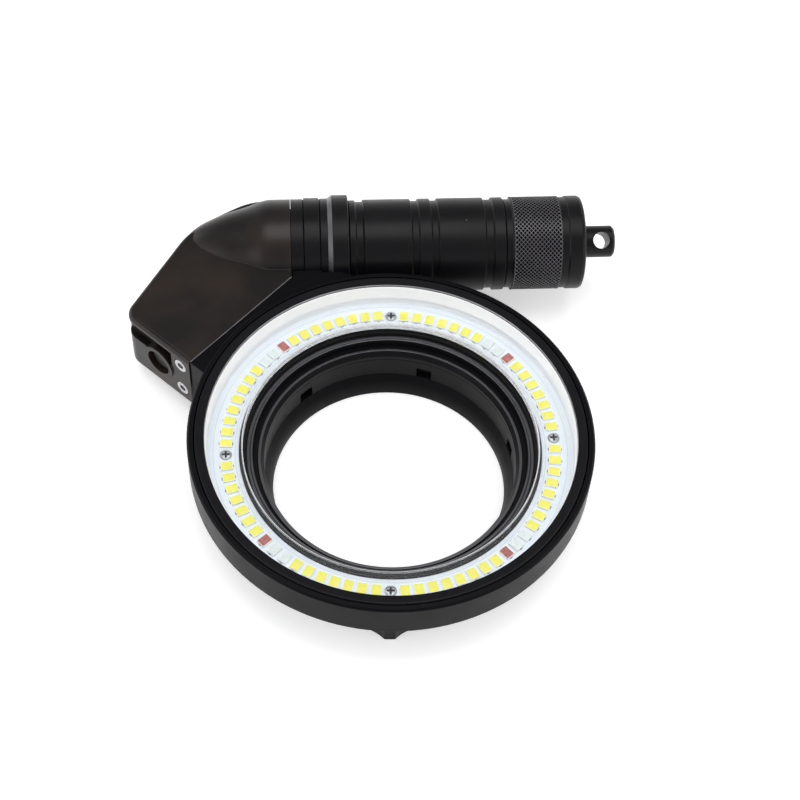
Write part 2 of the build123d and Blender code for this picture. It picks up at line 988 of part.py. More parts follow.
def button_clip():
    return clip_ring(clip_radius, stem_radius - clip_bite + seat, 0)


def button_seal():
    end = housing_near + button_bore_depth - seat
    ring = button_rod(stem_radius + button_seal_wall, end - button_seal_width, end)
    return ring - button_rod(stem_radius + running, end - 2 * button_seal_width, end + past)


def button_spring():
    start = button_face + button_thickness + seat + spring_wire / 2
    end = housing_near + button_bore_depth - button_seal_width - 2 * seat - spring_wire / 2
    turn = coil(spring_radius, spring_wire, end - start, spring_turns)
    return at_flat(Pos(start, button_b, button_z) * Rot(0, 90, 0) * turn)


def switch_plunger():
    start = stem_end + switch_gap
    return button_rod(plunger_radius, start, switch_front + past / 2)


def touch_switch():
    half = switch_size / 2
    block = flat_box(
        (switch_front, switch_back),
        (button_b - half, button_b + half),
        (button_z - half, button_z + half),
    )
    return block - button_rod(plunger_radius + slip, switch_front - past, switch_front + past)


def switch_carrier():
    """Plate behind the switch, with a shelf for the driver board and arms for the side screws."""
    foot = cavity_foot + seat
    near = housing_face + front_wall + slip
    top = cavity_top - seat
    shelf_top = driver_bottom - seat
    plate = flat_box((plate_near, plate_far), (near, button_b + switch_size), (foot, shelf_top))
    shelf = flat_box((plate_far, plate_far + carrier_shelf), (near, button_b), (foot, shelf_top))
    back = flat_box((plate_near, plate_far), (near, button_b + switch_size / 2), (foot, top))
    arm = flat_box((cavity_near + seat, plate_far), (near, near + carrier_arm_width), (foot, top))
    body = plate + shelf + back + arm
    for height in side_screw_z():
        body = body - side_rod(side_screw_radius, cavity_near - past, plate_far + past, height)
    return body


# Driver board lying on the rail and the carrier's shelf, its components and the wires
def driver_board():
    near = housing_face + front_wall + driver_inset
    along = (plate_far + slip, cavity_far - slip)
    return flat_box(along, (near, near + driver_width), (driver_bottom, driver_top))


def standing(radius, height, along, across):
    foot = driver_top + seat / 2
    return at_flat(Pos(along, across, foot + height / 2) * Cylinder(radius, height))


def lying(length, width, along, across):
    foot = driver_top + seat / 2
    return flat_box((along, along + length), (across, across + width), (foot, foot + chip_height))


def driver_components():
    choke_b = housing_face + choke_across
    capacitor_b = housing_face + capacitor_across
    choke = standing(choke_radius, choke_height, cavity_far - choke_inset, choke_b)
    capacitor = standing(capacitor_radius, capacitor_height, plate_far + capacitor_inset, capacitor_b)
    chip = lying(chip_size, chip_size, plate_far + chip_inset, housing_face + chip_across)
    diode = lying(diode_length, diode_width, plate_far + diode_inset, housing_face + diode_across)
    return [choke, capacitor, chip, diode]


def lamp_wires():
    wires = []
    for side in (-wire_spread, wire_spread):
        start = (*flat_point(side, lamp_circle + lamp_wire_start), lamp_wire_z)
        end = (*flat_point(side, housing_face + lamp_wire_reach), lamp_wire_z)
        wires.append(wire_through([start, end], 0))
    return wires


def battery_wire():
    corner = neck_start - neck_spigot_length - slip + wire_corner
    along, across = from_world(corner, tube_y)
    landing = flat_point(plate_far + wire_landing, across)
    return wire_through(
        [
            (contact_start - insulator_thickness - pin_length - seat, tube_y, tube_z),
            (corner, tube_y, tube_z),
            (*landing, tube_z),
            (*landing, driver_top + seat),
        ],
        wire_bend,
    )


# Battery tube in four turned pieces: neck, union nut, tube and tail cap
def seal_groove(centre, radius):
    left = centre - seal_size / 2 - slip
    right = centre + seal_size / 2 + slip
    floor = radius - seal_groove_depth
    return [(left, radius), (left, floor), (right, floor), (right, radius)]


def seal_rings(centres, radius, proud):
    """Square rings that fill the grooves and stand a little proud of the spigot."""
    rings = []
    for centre in centres:
        inner = radius - seal_groove_depth + seat
        rings.append(tube_ring(radius + proud, inner, centre - seal_size / 2, centre + seal_size / 2))
    return rings


def neck_seal_places():
    return [neck_start - neck_spigot_length + inset for inset in neck_seal_insets]


def tail_seal_places():
    return [body_end + inset for inset in tail_seal_insets]


def tube_neck():
    end = neck_start - neck_spigot_length
    bevel = neck_bevel
    pin_room = pin_radius + insulator_boss_wall + slip
    outline = [
        (end, neck_bore_radius),
        (end, neck_spigot_radius - bevel),
        (end + bevel, neck_spigot_radius),
    ]
    for centre in neck_seal_places():
        outline += seal_groove(centre, neck_spigot_radius)
    outline += [
        (neck_start, neck_spigot_radius),
        (neck_start, collar_radius),
        (union_start - bevel / 2, collar_radius),
        (union_start, collar_radius - bevel),
        (union_start + bevel / 2, union_radius),
        (union_end - bevel / 2, union_radius),
        (union_end, shoulder_radius - bevel),
        (union_end + bevel / 2, shoulder_radius),
        (neck_end, shoulder_radius),
        (neck_end, joint_spigot_radius),
        (neck_end + joint_spigot_length, joint_spigot_radius),
        (neck_end + joint_spigot_length, chamber_radius),
        (chamber_start, chamber_radius),
        (chamber_start, pin_room),
        (chamber_start - neck_web, pin_room),
        (chamber_start - neck_web, neck_bore_radius),
    ]
    return turned_tube(outline)


def union_nut():
    inner = joint_spigot_radius + seat
    return turned_tube([
        (nut_start, inner),
        (nut_start, shoulder_radius),
        (nut_start + nut_taper, nut_radius),
        (nut_end - rim_bevel / 2, nut_radius),
        (nut_end, nut_radius - rim_bevel / 2),
        (nut_end, inner),
    ])


def tube_groove(start, width, depth):
    """Outline stops of a groove with sloping sides."""
    return [
        (start, body_radius),
        (start + groove_slope, body_radius - depth),
        (start + width - groove_slope, body_radius - depth),
        (start + width, body_radius),
    ]


def battery_tube():
    inner = joint_spigot_radius + seat
    first = body_start + groove_starts[0]
    outline = [
        (body_start, inner),
        (body_start, nose_radius - rim_bevel / 2),
        (body_start + rim_bevel / 2, nose_radius),
        (first, nose_radius),
    ]
    outline += tube_groove(first, groove_widths[0], groove_depth)[1:]
    for start, width in zip(groove_starts[1:], groove_widths[1:]):
        outline += tube_groove(body_start + start, width, groove_depth)
    outline += [
        (body_end - groove_slope, body_radius),
        (body_end, body_radius - groove_depth),
        (body_end, tail_spigot_radius),
    ]
    for centre in tail_seal_places():
        outline += seal_groove(centre, tail_spigot_radius)
    outline += [
        (tail_spigot_end - spigot_bevel, tail_spigot_radius),
        (tail_spigot_end, tail_spigot_radius - spigot_bevel),
        (tail_spigot_end, chamber_radius),
        (neck_end + joint_spigot_length + slip, chamber_radius),
        (neck_end + joint_spigot_length + slip, inner),
    ]
    return turned_tube(outline)


def tail_cap():
    bore = tail_spigot_radius + running
    waist = body_radius - groove_depth
    grip_start = cap_start + cap_front_groove + groove_slope
    grip_end = grip_start + grip_length
    end_start = grip_end + cap_rear_groove
    post_bore = post_spigot_radius + seat
    return turned_tube([
        (cap_start, bore),
        (cap_start, waist),
        (grip_start - groove_slope, waist),
        (grip_start, grip_radius),
        (grip_end, grip_radius),
        (grip_end + groove_slope, waist + groove_slope),
        (end_start - groove_slope, waist + groove_slope),
        (end_start, end_radius),
        (cap_end - end_bevel, end_radius),
        (cap_end - end_bevel * 0.3, end_radius - end_bevel * 0.3),
        (cap_end, end_radius - end_bevel),
        (cap_end, post_bore),
        (cap_chamber_end, post_bore),
        (cap_chamber_end, chamber_radius),
        (tail_spigot_end + tail_spigot_room, chamber_radius),
        (tail_spigot_end + tail_spigot_room, bore),
    ])


def lanyard_post():
    body = turned_tube([
        (cap_end - post_spigot_length, 0),
        (cap_end - post_spigot_length, post_spigot_radius),
        (cap_end + seat, post_spigot_radius),
        (cap_end + seat, post_radius - post_neck),
        (cap_end + post_neck, post_radius - post_neck),
        (cap_end + 2 * post_neck, post_radius),
        (post_end - post_bevel, post_radius),
        (post_end, post_radius - post_bevel),
        (post_end, 0),
    ])
    place = Pos(post_end - post_hole_inset, tube_y, tube_z) * Rot(90 - post_hole_tilt, 0, 0)
    hole = Cylinder(post_hole_radius, 4 * post_radius)
    narrow = post_hole_radius - post_flare_start
    flare = Pos(0, 0, post_radius) * Cone(narrow, post_hole_radius + post_flare_width, post_flare_length)
    return body - place * hole - place * flare - place * mirror(flare, Plane.XY)


# Cell and its contacts
def cell_body():
    return turned_tube([
        (cell_front, nub_radius),
        (cell_front, cell_radius - cell_edge),
        (cell_front + cell_edge, cell_radius),
        (cell_rear - cell_edge, cell_radius),
        (cell_rear, cell_radius - cell_edge),
        (cell_rear, 0),
        (cell_front + cell_edge, 0),
        (cell_front + cell_edge, nub_radius),
    ])


def cell_nub():
    return tube_disc(nub_radius - seat, cell_front - nub_length, cell_front + cell_edge - seat)


def front_contact():
    disc = tube_disc(contact_radius, contact_start, contact_start + contact_thickness)
    return disc + tube_disc(pin_radius, contact_start - insulator_thickness - pin_length, contact_start)


def contact_insulator():
    start = chamber_start + seat
    end = contact_start - seat
    disc = tube_ring(chamber_radius - slip, pin_radius + seat, start, end)
    wall = pin_radius + insulator_boss_wall
    boss = tube_ring(wall, pin_radius + seat, start - insulator_boss_length, start)
    return disc + boss


def tail_contact():
    end = cap_chamber_end - seat
    return tube_disc(chamber_radius - 2 * slip, end - tail_disc_thickness, end)


def tail_spring():
    start = cell_rear + seat + tail_spring_wire / 2
    end = cap_chamber_end - 2 * seat - tail_disc_thickness - tail_spring_wire / 2
    turn = coil(tail_spring_radius, tail_spring_wire, end - start, tail_spring_turns)
    return Pos(start, tube_y, tube_z) * Rot(0, 90, 0) * turn


save("ring_housing", ring_housing())
save("bezel_ring", bezel_ring())
save("cover_window", cover_window())
save("outer_window_seal", outer_window_seal())
save("inner_window_seal", inner_window_seal())
save("lamp_board", lamp_board())
save("white_lamp_bodies", *white_lamp_bodies())
save("white_lamp_phosphors", *white_lamp_phosphors())
save("red_lamps", *red_lamps())
save("clear_lamps", *clear_lamps())
save("board_screws", *board_screws())
save("inner_sleeve", inner_sleeve())
save("journal_sleeve", journal_sleeve())
save("retaining_ring", retaining_ring())
save("lock_ring", lock_ring())
save("lock_washer", lock_washer())
save("switch_housing", switch_housing())
save("flat_gasket", flat_gasket())
save("flat_screws", *flat_screws())
save("side_screws", *side_screws())
save("housing_plug", housing_plug())
save("push_button", push_button())
save("button_clip", button_clip())
save("button_seal", button_seal())
save("button_spring", button_spring())
save("switch_plunger", switch_plunger())
save("touch_switch", touch_switch())
save("switch_carrier", switch_carrier())
save("driver_board", driver_board())
save("driver_components", *driver_components())
save("lamp_wires", *lamp_wires())
save("battery_wire", battery_wire())
save("tube_neck", tube_neck())
save("neck_seals", *seal_rings(neck_seal_places(), neck_spigot_radius, seat / 2))
save("union_nut", union_nut())
save("battery_tube", battery_tube())
save("tail_seals", *seal_rings(tail_seal_places(), tail_spigot_radius, seat / 2))
save("tail_cap", tail_cap())
save("lanyard_post", lanyard_post())
save("cell_body", cell_body())
save("cell_nub", cell_nub())
save("front_contact", front_contact())
save("contact_insulator", contact_insulator())
save("tail_contact", tail_contact())
save("tail_spring", tail_spring())
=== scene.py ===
from math import atan2, cos, pi, radians, sin, sqrt

import bmesh
import bpy
from mathutils import Matrix, Vector


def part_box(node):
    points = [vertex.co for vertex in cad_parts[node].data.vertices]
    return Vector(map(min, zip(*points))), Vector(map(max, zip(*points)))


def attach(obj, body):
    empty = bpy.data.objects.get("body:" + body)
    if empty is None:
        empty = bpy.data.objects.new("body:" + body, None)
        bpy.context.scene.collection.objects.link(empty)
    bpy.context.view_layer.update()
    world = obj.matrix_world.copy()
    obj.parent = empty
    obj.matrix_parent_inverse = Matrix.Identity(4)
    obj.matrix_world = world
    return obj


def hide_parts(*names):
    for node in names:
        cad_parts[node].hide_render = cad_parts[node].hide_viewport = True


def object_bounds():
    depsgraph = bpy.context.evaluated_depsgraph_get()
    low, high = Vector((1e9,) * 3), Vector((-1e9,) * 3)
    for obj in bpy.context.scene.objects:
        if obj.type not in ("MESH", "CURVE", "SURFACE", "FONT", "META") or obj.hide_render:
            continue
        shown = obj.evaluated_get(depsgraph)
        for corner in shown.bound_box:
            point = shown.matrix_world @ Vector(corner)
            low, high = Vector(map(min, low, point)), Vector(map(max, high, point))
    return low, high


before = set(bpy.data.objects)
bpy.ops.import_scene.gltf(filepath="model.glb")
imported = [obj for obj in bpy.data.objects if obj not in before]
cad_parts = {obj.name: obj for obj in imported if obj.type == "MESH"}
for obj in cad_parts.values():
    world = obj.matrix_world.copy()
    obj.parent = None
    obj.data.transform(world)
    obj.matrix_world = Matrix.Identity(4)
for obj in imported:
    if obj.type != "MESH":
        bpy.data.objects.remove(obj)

cad_low, cad_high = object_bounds()
MM = 0.001


# Studio. The light lies on a white table top that has no visible end, in a pale room. A wide soft
# box hangs over it, a little behind, and two white panels stand left and right. The left one is
# brighter and draws the thin light lines on the edges of the black metal.
def linear(hex_colour):
    """Linear colour of an sRGB hex colour."""
    parts = [int(hex_colour[start:start + 2], 16) / 255 for start in (1, 3, 5)]
    return [part / 12.92 if part <= 0.04045 else ((part + 0.055) / 1.055) ** 2.4 for part in parts] + [1]


def add_node(tree, kind, inputs=None, **settings):
    """Adds a shader node, and sets or links its inputs."""
    node = tree.nodes.new("ShaderNode" + kind)
    for name, value in settings.items():
        setattr(node, name, value)
    for socket, value in (inputs or {}).items():
        if isinstance(value, bpy.types.NodeSocket):
            tree.links.new(value, node.inputs[socket])
        else:
            node.inputs[socket].default_value = value
    return node


def empty_material(name):
    """Material without any shader nodes."""
    material = bpy.data.materials.new(name)
    material.use_nodes = True
    material.node_tree.nodes.clear()
    return material


def hang_light(name, height, lean, power, side=0):
    """Hangs an area light over the object, on an arm that leans by an angle in degrees."""
    lamp = bpy.data.objects.new(name, bpy.data.lights.new(name, "AREA"))
    lamp.data.energy = power
    lamp.location = (side, -height * sin(radians(lean)), height * cos(radians(lean)))
    lamp.rotation_euler = (radians(lean), 0, 0)
    bpy.context.collection.objects.link(lamp)
    return lamp


table_size = 6000 * MM
table_sink = 0.02 * MM
table_glow = 0.34
soft_box_size = (700 * MM, 400 * MM)
fill_size = 1500 * MM
wall_strength = 1.0
room_strength = 0.4
left_panel_strength = 1.8
right_panel_strength = 1.6
# Where walls and panels fade out, as heights and sideways parts of a direction of length 1
wall_top = (0.2, 0.45)
panel_edge = (0.58, 0.75)
panel_top = (0.45, 0.55)
panel_foot = (0.04, 0.14)

camera_place = (-26.82 * MM, -277.3 * MM, 437.97 * MM)
camera_turn = (35.24879, -1.95486, -3.13660)
camera_lens = 79.1

table_mesh = bmesh.new()
bmesh.ops.create_grid(table_mesh, x_segments=1, y_segments=1, size=table_size / 2)
bmesh.ops.translate(table_mesh, verts=table_mesh.verts, vec=(0, 0, cad_low.z - table_sink))
table_data = bpy.data.meshes.new("table_top")
table_mesh.to_mesh(table_data)
table_mesh.free()
table_top = bpy.data.objects.new("table_top", table_data)
bpy.context.collection.objects.link(table_top)

# White acrylic table: matt white that also glows where it is looked at, so that it is white to its
# end and still takes the object's shadow.
table_white = empty_material("white acrylic table")
tree = table_white.node_tree
rays = add_node(tree, "LightPath")
seen = add_node(
    tree, "Math", {0: rays.outputs["Is Camera Ray"], 1: rays.outputs["Is Glossy Ray"]}, operation="ADD",
)
seen = add_node(
    tree, "Math", {0: seen.outputs[0], 1: rays.outputs["Is Transmission Ray"]},
    operation="ADD", use_clamp=True,
)
glow = add_node(tree, "Math", {0: seen.outputs[0], 1: table_glow}, operation="MULTIPLY")
matt = add_node(tree, "BsdfDiffuse", {"Color": linear("#f4f4f4")})
shine = add_node(tree, "Emission", {"Color": linear("#ffffff"), "Strength": glow.outputs[0]})
both = add_node(tree, "AddShader", {0: matt.outputs[0], 1: shine.outputs[0]})
add_node(tree, "OutputMaterial", {"Surface": both.outputs[0]})
table_top.data.materials.append(table_white)

world = bpy.data.worlds.new("studio room")
bpy.context.scene.world = world
world.use_nodes = True
world.node_tree.nodes.clear()
tree = world.node_tree
direction = add_node(tree, "TexCoord").outputs["Generated"]
parts = add_node(tree, "SeparateXYZ", {0: direction})
height = parts.outputs["Z"]
strength = add_node(tree, "MapRange", {
    "Value": height, "From Min": wall_top[0], "From Max": wall_top[1],
    "To Min": wall_strength, "To Max": room_strength,
}, interpolation_type="SMOOTHSTEP")
total = strength.outputs["Result"]
for side, panel_strength in ((-1, left_panel_strength), (1, right_panel_strength)):
    across = add_node(tree, "MapRange", {
        "Value": parts.outputs["X"], "From Min": side * panel_edge[0], "From Max": side * panel_edge[1],
        "To Max": panel_strength,
    }, interpolation_type="SMOOTHSTEP")
    below = add_node(tree, "MapRange", {
        "Value": height, "From Min": panel_top[1], "From Max": panel_top[0],
        "To Max": across.outputs["Result"],
    }, interpolation_type="SMOOTHSTEP")
    above = add_node(tree, "MapRange", {
        "Value": height, "From Min": panel_foot[0], "From Max": panel_foot[1],
        "To Max": below.outputs["Result"],
    }, interpolation_type="SMOOTHSTEP")
    total = add_node(tree, "Math", {0: total, 1: above.outputs["Result"]}, operation="ADD").outputs[0]
light = add_node(tree, "Background", {"Color": linear("#ffffff"), "Strength": total})
add_node(tree, "OutputWorld", {"Surface": light.outputs[0]})

soft_box = hang_light("soft_box", height=700 * MM, lean=-5, power=2.55, side=10 * MM)
soft_box.data.shape = "RECTANGLE"
soft_box.data.size, soft_box.data.size_y = soft_box_size

fill = hang_light("ceiling_fill", height=1100 * MM, lean=48, power=5.9)
fill.data.size = fill_size
fill.visible_glossy = False

camera = bpy.data.objects.new("camera", bpy.data.cameras.new("camera"))
camera.location = camera_place
camera.rotation_euler = [radians(angle) for angle in camera_turn]
camera.data.lens = camera_lens
camera.data.sensor_width = 36
camera.data.clip_start = 10 * MM
bpy.context.collection.objects.link(camera)
bpy.context.scene.camera = camera
bpy.context.scene.view_settings.view_transform = "Standard"


# Ring housing. Turned from one aluminium bar, with a wing milled at its side for the switch
# housing, then bead-blasted fine and black anodised. Every sharp edge is broken by the lathe.
def new_material(name, values):
    """Material of one Principled shader with the given values on its sockets."""
    material = empty_material(name)
    shader = add_node(material.node_tree, "BsdfPrincipled", values)
    add_node(material.node_tree, "OutputMaterial", {"Surface": shader.outputs[0]})
    return material, material.node_tree, shader


def new_piece(name, bm, *materials):
    """Makes a piece at the origin from a bmesh in metres, shaded smooth across its fine rounds."""
    mesh = bpy.data.meshes.new(name)
    bm.to_mesh(mesh)
    bm.free()
    piece = bpy.data.objects.new(name, mesh)
    bpy.context.collection.objects.link(piece)
    for material in materials:
        mesh.materials.append(material)
    mesh.shade_smooth()
    mesh.set_sharp_from_angle(angle=radians(40))
    weigh = piece.modifiers.new("weighted normals", "WEIGHTED_NORMAL")
    weigh.keep_sharp = True
    return piece


def dressed_copy(node, name, material, edge):
    """Copy of a CAD node with its triangles merged and its sharp edges broken by a fine round."""
    bm = bmesh.new()
    bm.from_mesh(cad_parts[node].data)
    bmesh.ops.remove_doubles(bm, verts=bm.verts, dist=0.002 * MM)
    bmesh.ops.dissolve_limit(bm, angle_limit=radians(0.4), verts=bm.verts, edges=bm.edges)
    sharp = [e for e in bm.edges if len(e.link_faces) == 2 and e.calc_face_angle() > radians(35)]
    bmesh.ops.bevel(
        bm, geom=sharp, offset=edge * MM, segments=2, profile=0.5,
        affect="EDGES", material=-1, loop_slide=True,
    )
    bmesh.ops.remove_doubles(bm, verts=bm.verts, dist=0.002 * MM)
    return new_piece(name, bm, material)


def black_anodised(finish, colour, roughness, gloss, lathe_axis):
    """Black anodised aluminium: a dark dyed skin with soft gloss, faint tool marks round the
    turned axis, and a few specks of dust that show on black."""
    speck_colour = "#6f6c68"
    # The real specks are about 0.1 mm, drawn at twice that so that they show, 7 mm apart
    speck_room = 7 * MM
    speck_core, speck_rim = 0.016, 0.034
    speck_strength = 0.55
    clean_share = 0.62
    # Blasting leaves pits of about 0.05 mm, drawn as 0.3 mm. Lathe marks lie 0.1 mm apart and are
    # drawn as soft waves, 3.14 mm apart. The wave texture repeats every 0.314 at a scale of 1
    pit_size = 0.3 * MM
    mark_pitch = 3.14 * MM
    wave_repeat = 0.314
    material, tree, shader = new_material("black anodised aluminium, " + finish, {
        "Base Color": linear(colour), "Roughness": roughness, "IOR": 1.6, "Specular IOR Level": gloss,
    })
    place = add_node(tree, "TexCoord").outputs["Object"]
    cloud = add_node(tree, "TexNoise", {"Vector": place, "Scale": 1 / (9 * MM), "Detail": 3.0})
    rough = add_node(tree, "MapRange", {
        "Value": cloud.outputs["Fac"], "From Min": 0.3, "From Max": 0.7,
        "To Min": roughness - 0.04, "To Max": roughness + 0.05,
    })
    tree.links.new(rough.outputs["Result"], shader.inputs["Roughness"])
    specks = add_node(tree, "TexVoronoi", {"Vector": place, "Scale": 1 / speck_room, "Randomness": 1.0})
    speck = add_node(tree, "MapRange", {
        "Value": specks.outputs["Distance"], "From Min": speck_core, "From Max": speck_rim,
        "To Min": speck_strength, "To Max": 0.0,
    })
    chance = add_node(tree, "SeparateColor", {"Color": specks.outputs["Color"]})
    few = add_node(tree, "Math", {0: chance.outputs[0], 1: clean_share}, operation="GREATER_THAN")
    speck = add_node(tree, "Math", {0: speck.outputs["Result"], 1: few.outputs[0]}, operation="MULTIPLY")
    tint = add_node(tree, "TexNoise", {"Vector": place, "Scale": 1 / (25 * MM), "Detail": 2.0})
    dye = add_node(tree, "Mix", {
        0: tint.outputs["Fac"], 6: linear(colour), 7: [part * 1.5 for part in linear(colour)[:3]] + [1],
    }, data_type="RGBA")
    skin = add_node(tree, "Mix", {
        0: speck.outputs[0], 6: dye.outputs[2], 7: linear(speck_colour),
    }, data_type="RGBA")
    tree.links.new(skin.outputs[2], shader.inputs["Base Color"])
    grain = add_node(tree, "TexNoise", {"Vector": place, "Scale": 1 / pit_size, "Detail": 2.0})
    height = grain.outputs["Fac"]
    if lathe_axis:
        kinds = {"Z": ("RINGS", "rings_direction"), "X": ("BANDS", "bands_direction")}
        kind, side = kinds[lathe_axis]
        marks = add_node(tree, "TexWave", {
            "Vector": place, "Scale": wave_repeat / mark_pitch, "Distortion": 0.6, "Detail": 1.0,
        }, wave_type=kind, **{side: lathe_axis})
        height = add_node(tree, "Math", {0: marks.outputs["Fac"], 1: height}, operation="ADD").outputs[0]
    bump = add_node(tree, "Bump", {"Strength": 0.25, "Distance": 0.006 * MM, "Height": height})
    tree.links.new(bump.outputs["Normal"], shader.inputs["Normal"])
    return material


anodised_ring = black_anodised("ring", "#08080a", 0.36, gloss=0.05, lathe_axis="Z")
ring_housing = dressed_copy("ring_housing", "ring_body", anodised_ring, edge=0.14)
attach(ring_housing, "light")
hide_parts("ring_housing")


# Lamp board. A ring of aluminium-cored circuit board under white solder mask. Two faint grey rings
# stand for tracks under the mask; the inner one also paints the shadow of the window's edge. Bright tin shows
# at the ends of the lamps.
def box_mm(node):
    """Lowest and highest corner of a CAD node in millimetres."""
    return [Vector(corner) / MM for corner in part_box(node)]


def spin_round(bm, centre, axis, steps):
    """Spins an outline once round an axis, and closes its seam and its poles."""
    bmesh.ops.spin(
        bm, geom=bm.verts[:] + bm.edges[:], cent=centre, axis=axis, dvec=(0, 0, 0), angle=2 * pi,
        steps=steps, use_merge=True,
    )
    bmesh.ops.remove_doubles(bm, verts=bm.verts, dist=0.001 * MM)


def turned_piece(name, material, points, edge, steps=256, about_tube=False):
    """Piece turned from an outline in millimetres, with a fine round on every corner. Points are
    (radius, height) about the ring axis, or (place, radius) about the battery tube's axis."""
    bm = bmesh.new()
    if about_tube:
        corners = [(place, tube_y, tube_z + radius) for place, radius in points]
        centre, axis = tube_axis, (1, 0, 0)
    else:
        corners = [(radius, 0, height) for radius, height in points]
        centre, axis = (0, 0, 0), (0, 0, 1)
    verts = [bm.verts.new(Vector(corner) * MM) for corner in corners]
    for first, second in zip(verts, verts[1:] + verts[:1]):
        bm.edges.new((first, second))
    bmesh.ops.bevel(
        bm, geom=verts, offset=edge * MM, segments=2, profile=0.5,
        affect="VERTICES", material=-1,
    )
    spin_round(bm, centre, axis, steps)
    bmesh.ops.recalc_face_normals(bm, faces=bm.faces)
    return new_piece(name, bm, material)


board_low, board_high = box_mm("lamp_board")
seal_low, seal_high = box_mm("inner_window_seal")
board_top = board_high.z
board_inner = seal_high.x + 0.2
lamp_length = 3.5
lamp_width = 2.8
lamp_circle = board_inner + 3.7
# The circle is divided into equal slots, and each holds a lamp or a screw
slots = 76
first_bearing = 87.0
screw_slots = [0, 20, 38, 58]
red_slots = [9, 28, 47, 66]
clear_slots = [10, 11, 29, 30, 48, 49, 67, 68]
white_slots = [slot for slot in range(slots) if slot not in screw_slots + red_slots + clear_slots]


def bearing(slot):
    """Angle of a slot round the ring, in degrees."""
    return first_bearing + slot * 360 / slots


def repeat_round(bm, slot_list):
    """Copies what the bmesh holds, made at bearing 0, to each lamp slot, and drops the first."""
    old = bm.verts[:]
    first = old + bm.edges[:] + bm.faces[:]
    for slot in slot_list:
        copy = bmesh.ops.duplicate(bm, geom=first)["geom"]
        verts = [part for part in copy if isinstance(part, bmesh.types.BMVert)]
        turn = Matrix.Rotation(radians(bearing(slot)), 3, "Z")
        bmesh.ops.rotate(bm, verts=verts, cent=(0, 0, 0), matrix=turn)
    bmesh.ops.delete(bm, geom=old, context="VERTS")


def add_block(bm, size, centre):
    """Adds a block, sizes in millimetres, and returns its vertices."""
    verts = bmesh.ops.create_cube(bm, size=1)["verts"]
    bmesh.ops.scale(bm, verts=verts, vec=Vector(size) * MM)
    bmesh.ops.translate(bm, verts=verts, vec=Vector(centre) * MM)
    return verts


def fine_grain(tree, shader, grain_size, strength, depth, detail=2.0):
    """Gives a surface fine grain, of a size and a depth in millimetres."""
    place = add_node(tree, "TexCoord").outputs["Object"]
    grain = add_node(tree, "TexNoise", {"Vector": place, "Scale": 1 / (grain_size * MM), "Detail": detail})
    bump = add_node(tree, "Bump", {
        "Strength": strength, "Distance": depth * MM, "Height": grain.outputs["Fac"],
    })
    tree.links.new(bump.outputs["Normal"], shader.inputs["Normal"])


# White solder mask: glossy cool white over copper. Thin grey rings mark track edges; the inner ring is also
# painted shadow of the window's edge
track_and_shadow_shade = 0.35
solder_mask, tree, shader = new_material("white solder mask", {
    "Base Color": linear("#dfe2ea"), "Roughness": 0.28, "IOR": 1.5,
})
place = add_node(tree, "TexCoord").outputs["Object"]
flat = add_node(tree, "Mapping", {"Vector": place, "Scale": (1, 1, 0)})
radius = add_node(tree, "VectorMath", {0: flat.outputs[0]}, operation="LENGTH").outputs["Value"]
track_and_shadow_rings = []
# The inner ring lies where the window's edge shades the board, and is partly painted shadow
for ring_radius in (board_inner + 1.1, lamp_circle + 3.6):
    away = add_node(tree, "Math", {0: radius, 1: ring_radius * MM}, operation="SUBTRACT")
    away = add_node(tree, "Math", {0: away.outputs[0]}, operation="ABSOLUTE")
    line = add_node(tree, "MapRange", {
        "Value": away.outputs[0], "From Min": 0.04 * MM, "From Max": 0.12 * MM,
        "To Min": 1.0, "To Max": 0.0,
    })
    track_and_shadow_rings.append(line.outputs["Result"])
lines = add_node(tree, "Math", {0: track_and_shadow_rings[0], 1: track_and_shadow_rings[1]}, operation="MAXIMUM")
cloud = add_node(tree, "TexNoise", {"Vector": place, "Scale": 1 / (14 * MM), "Detail": 2.0})
white = add_node(tree, "Mix", {
    0: cloud.outputs["Fac"], 6: linear("#e4e7ec"), 7: linear("#ecedef"),
}, data_type="RGBA")
shade = add_node(tree, "Math", {0: lines.outputs[0], 1: track_and_shadow_shade}, operation="MULTIPLY")
white = add_node(tree, "Mix", {
    0: shade.outputs[0], 6: white.outputs[2], 7: linear("#8f949c"),
}, data_type="RGBA")
tree.links.new(white.outputs[2], shader.inputs["Base Color"])
fine_grain(tree, shader, 0.8, 0.2, 0.01, detail=1.0)

lamp_board = turned_piece("lamp_board_ring", solder_mask, [
    (board_inner, board_low.z), (board_high.x, board_low.z),
    (board_high.x, board_top), (board_inner, board_top),
], edge=0.08)
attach(lamp_board, "light")
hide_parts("lamp_board")

# Tin on the lamp ends, dull grey metal with a soft shine
tin, tree, shader = new_material("tin solder", {
    "Base Color": linear("#9a9da2"), "Metallic": 1.0, "Roughness": 0.35,
})
fine_grain(tree, shader, 0.5, 0.4, 0.02)

joint_length = 0.3
joint_width = 0.9
joint_height = 0.14
joint_fall = 0.12
bm = bmesh.new()
for side in (-1, 1):
    centre = Vector((lamp_circle + side * (lamp_length + joint_length) / 2, 0, board_top + joint_height / 2))
    verts = add_block(bm, (joint_length, joint_width, joint_height), centre)
    outer = [v for v in verts if v.co.z > centre.z * MM and side * (v.co.x - centre.x * MM) > 0]
    bmesh.ops.translate(bm, verts=outer, vec=(0, 0, -joint_fall * MM))
repeat_round(bm, white_slots + red_slots + clear_slots)
solder_joints = new_piece("solder_joints", bm, tin)
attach(solder_joints, "light")


# Lamps. Each is a moulded white package, 3.5 by 2.8 mm, whose pocket is filled with gel: yellow
# phosphor in the sixty white lamps, red in four and clear in eight. They are soldered to the board.
package_height = box_mm("white_lamp_bodies")[1].z - board_top
package_corner = 0.15
package_rim = 0.14
pocket_depth = 0.25
pocket_slope = 0.08
gel_gap = 0.01


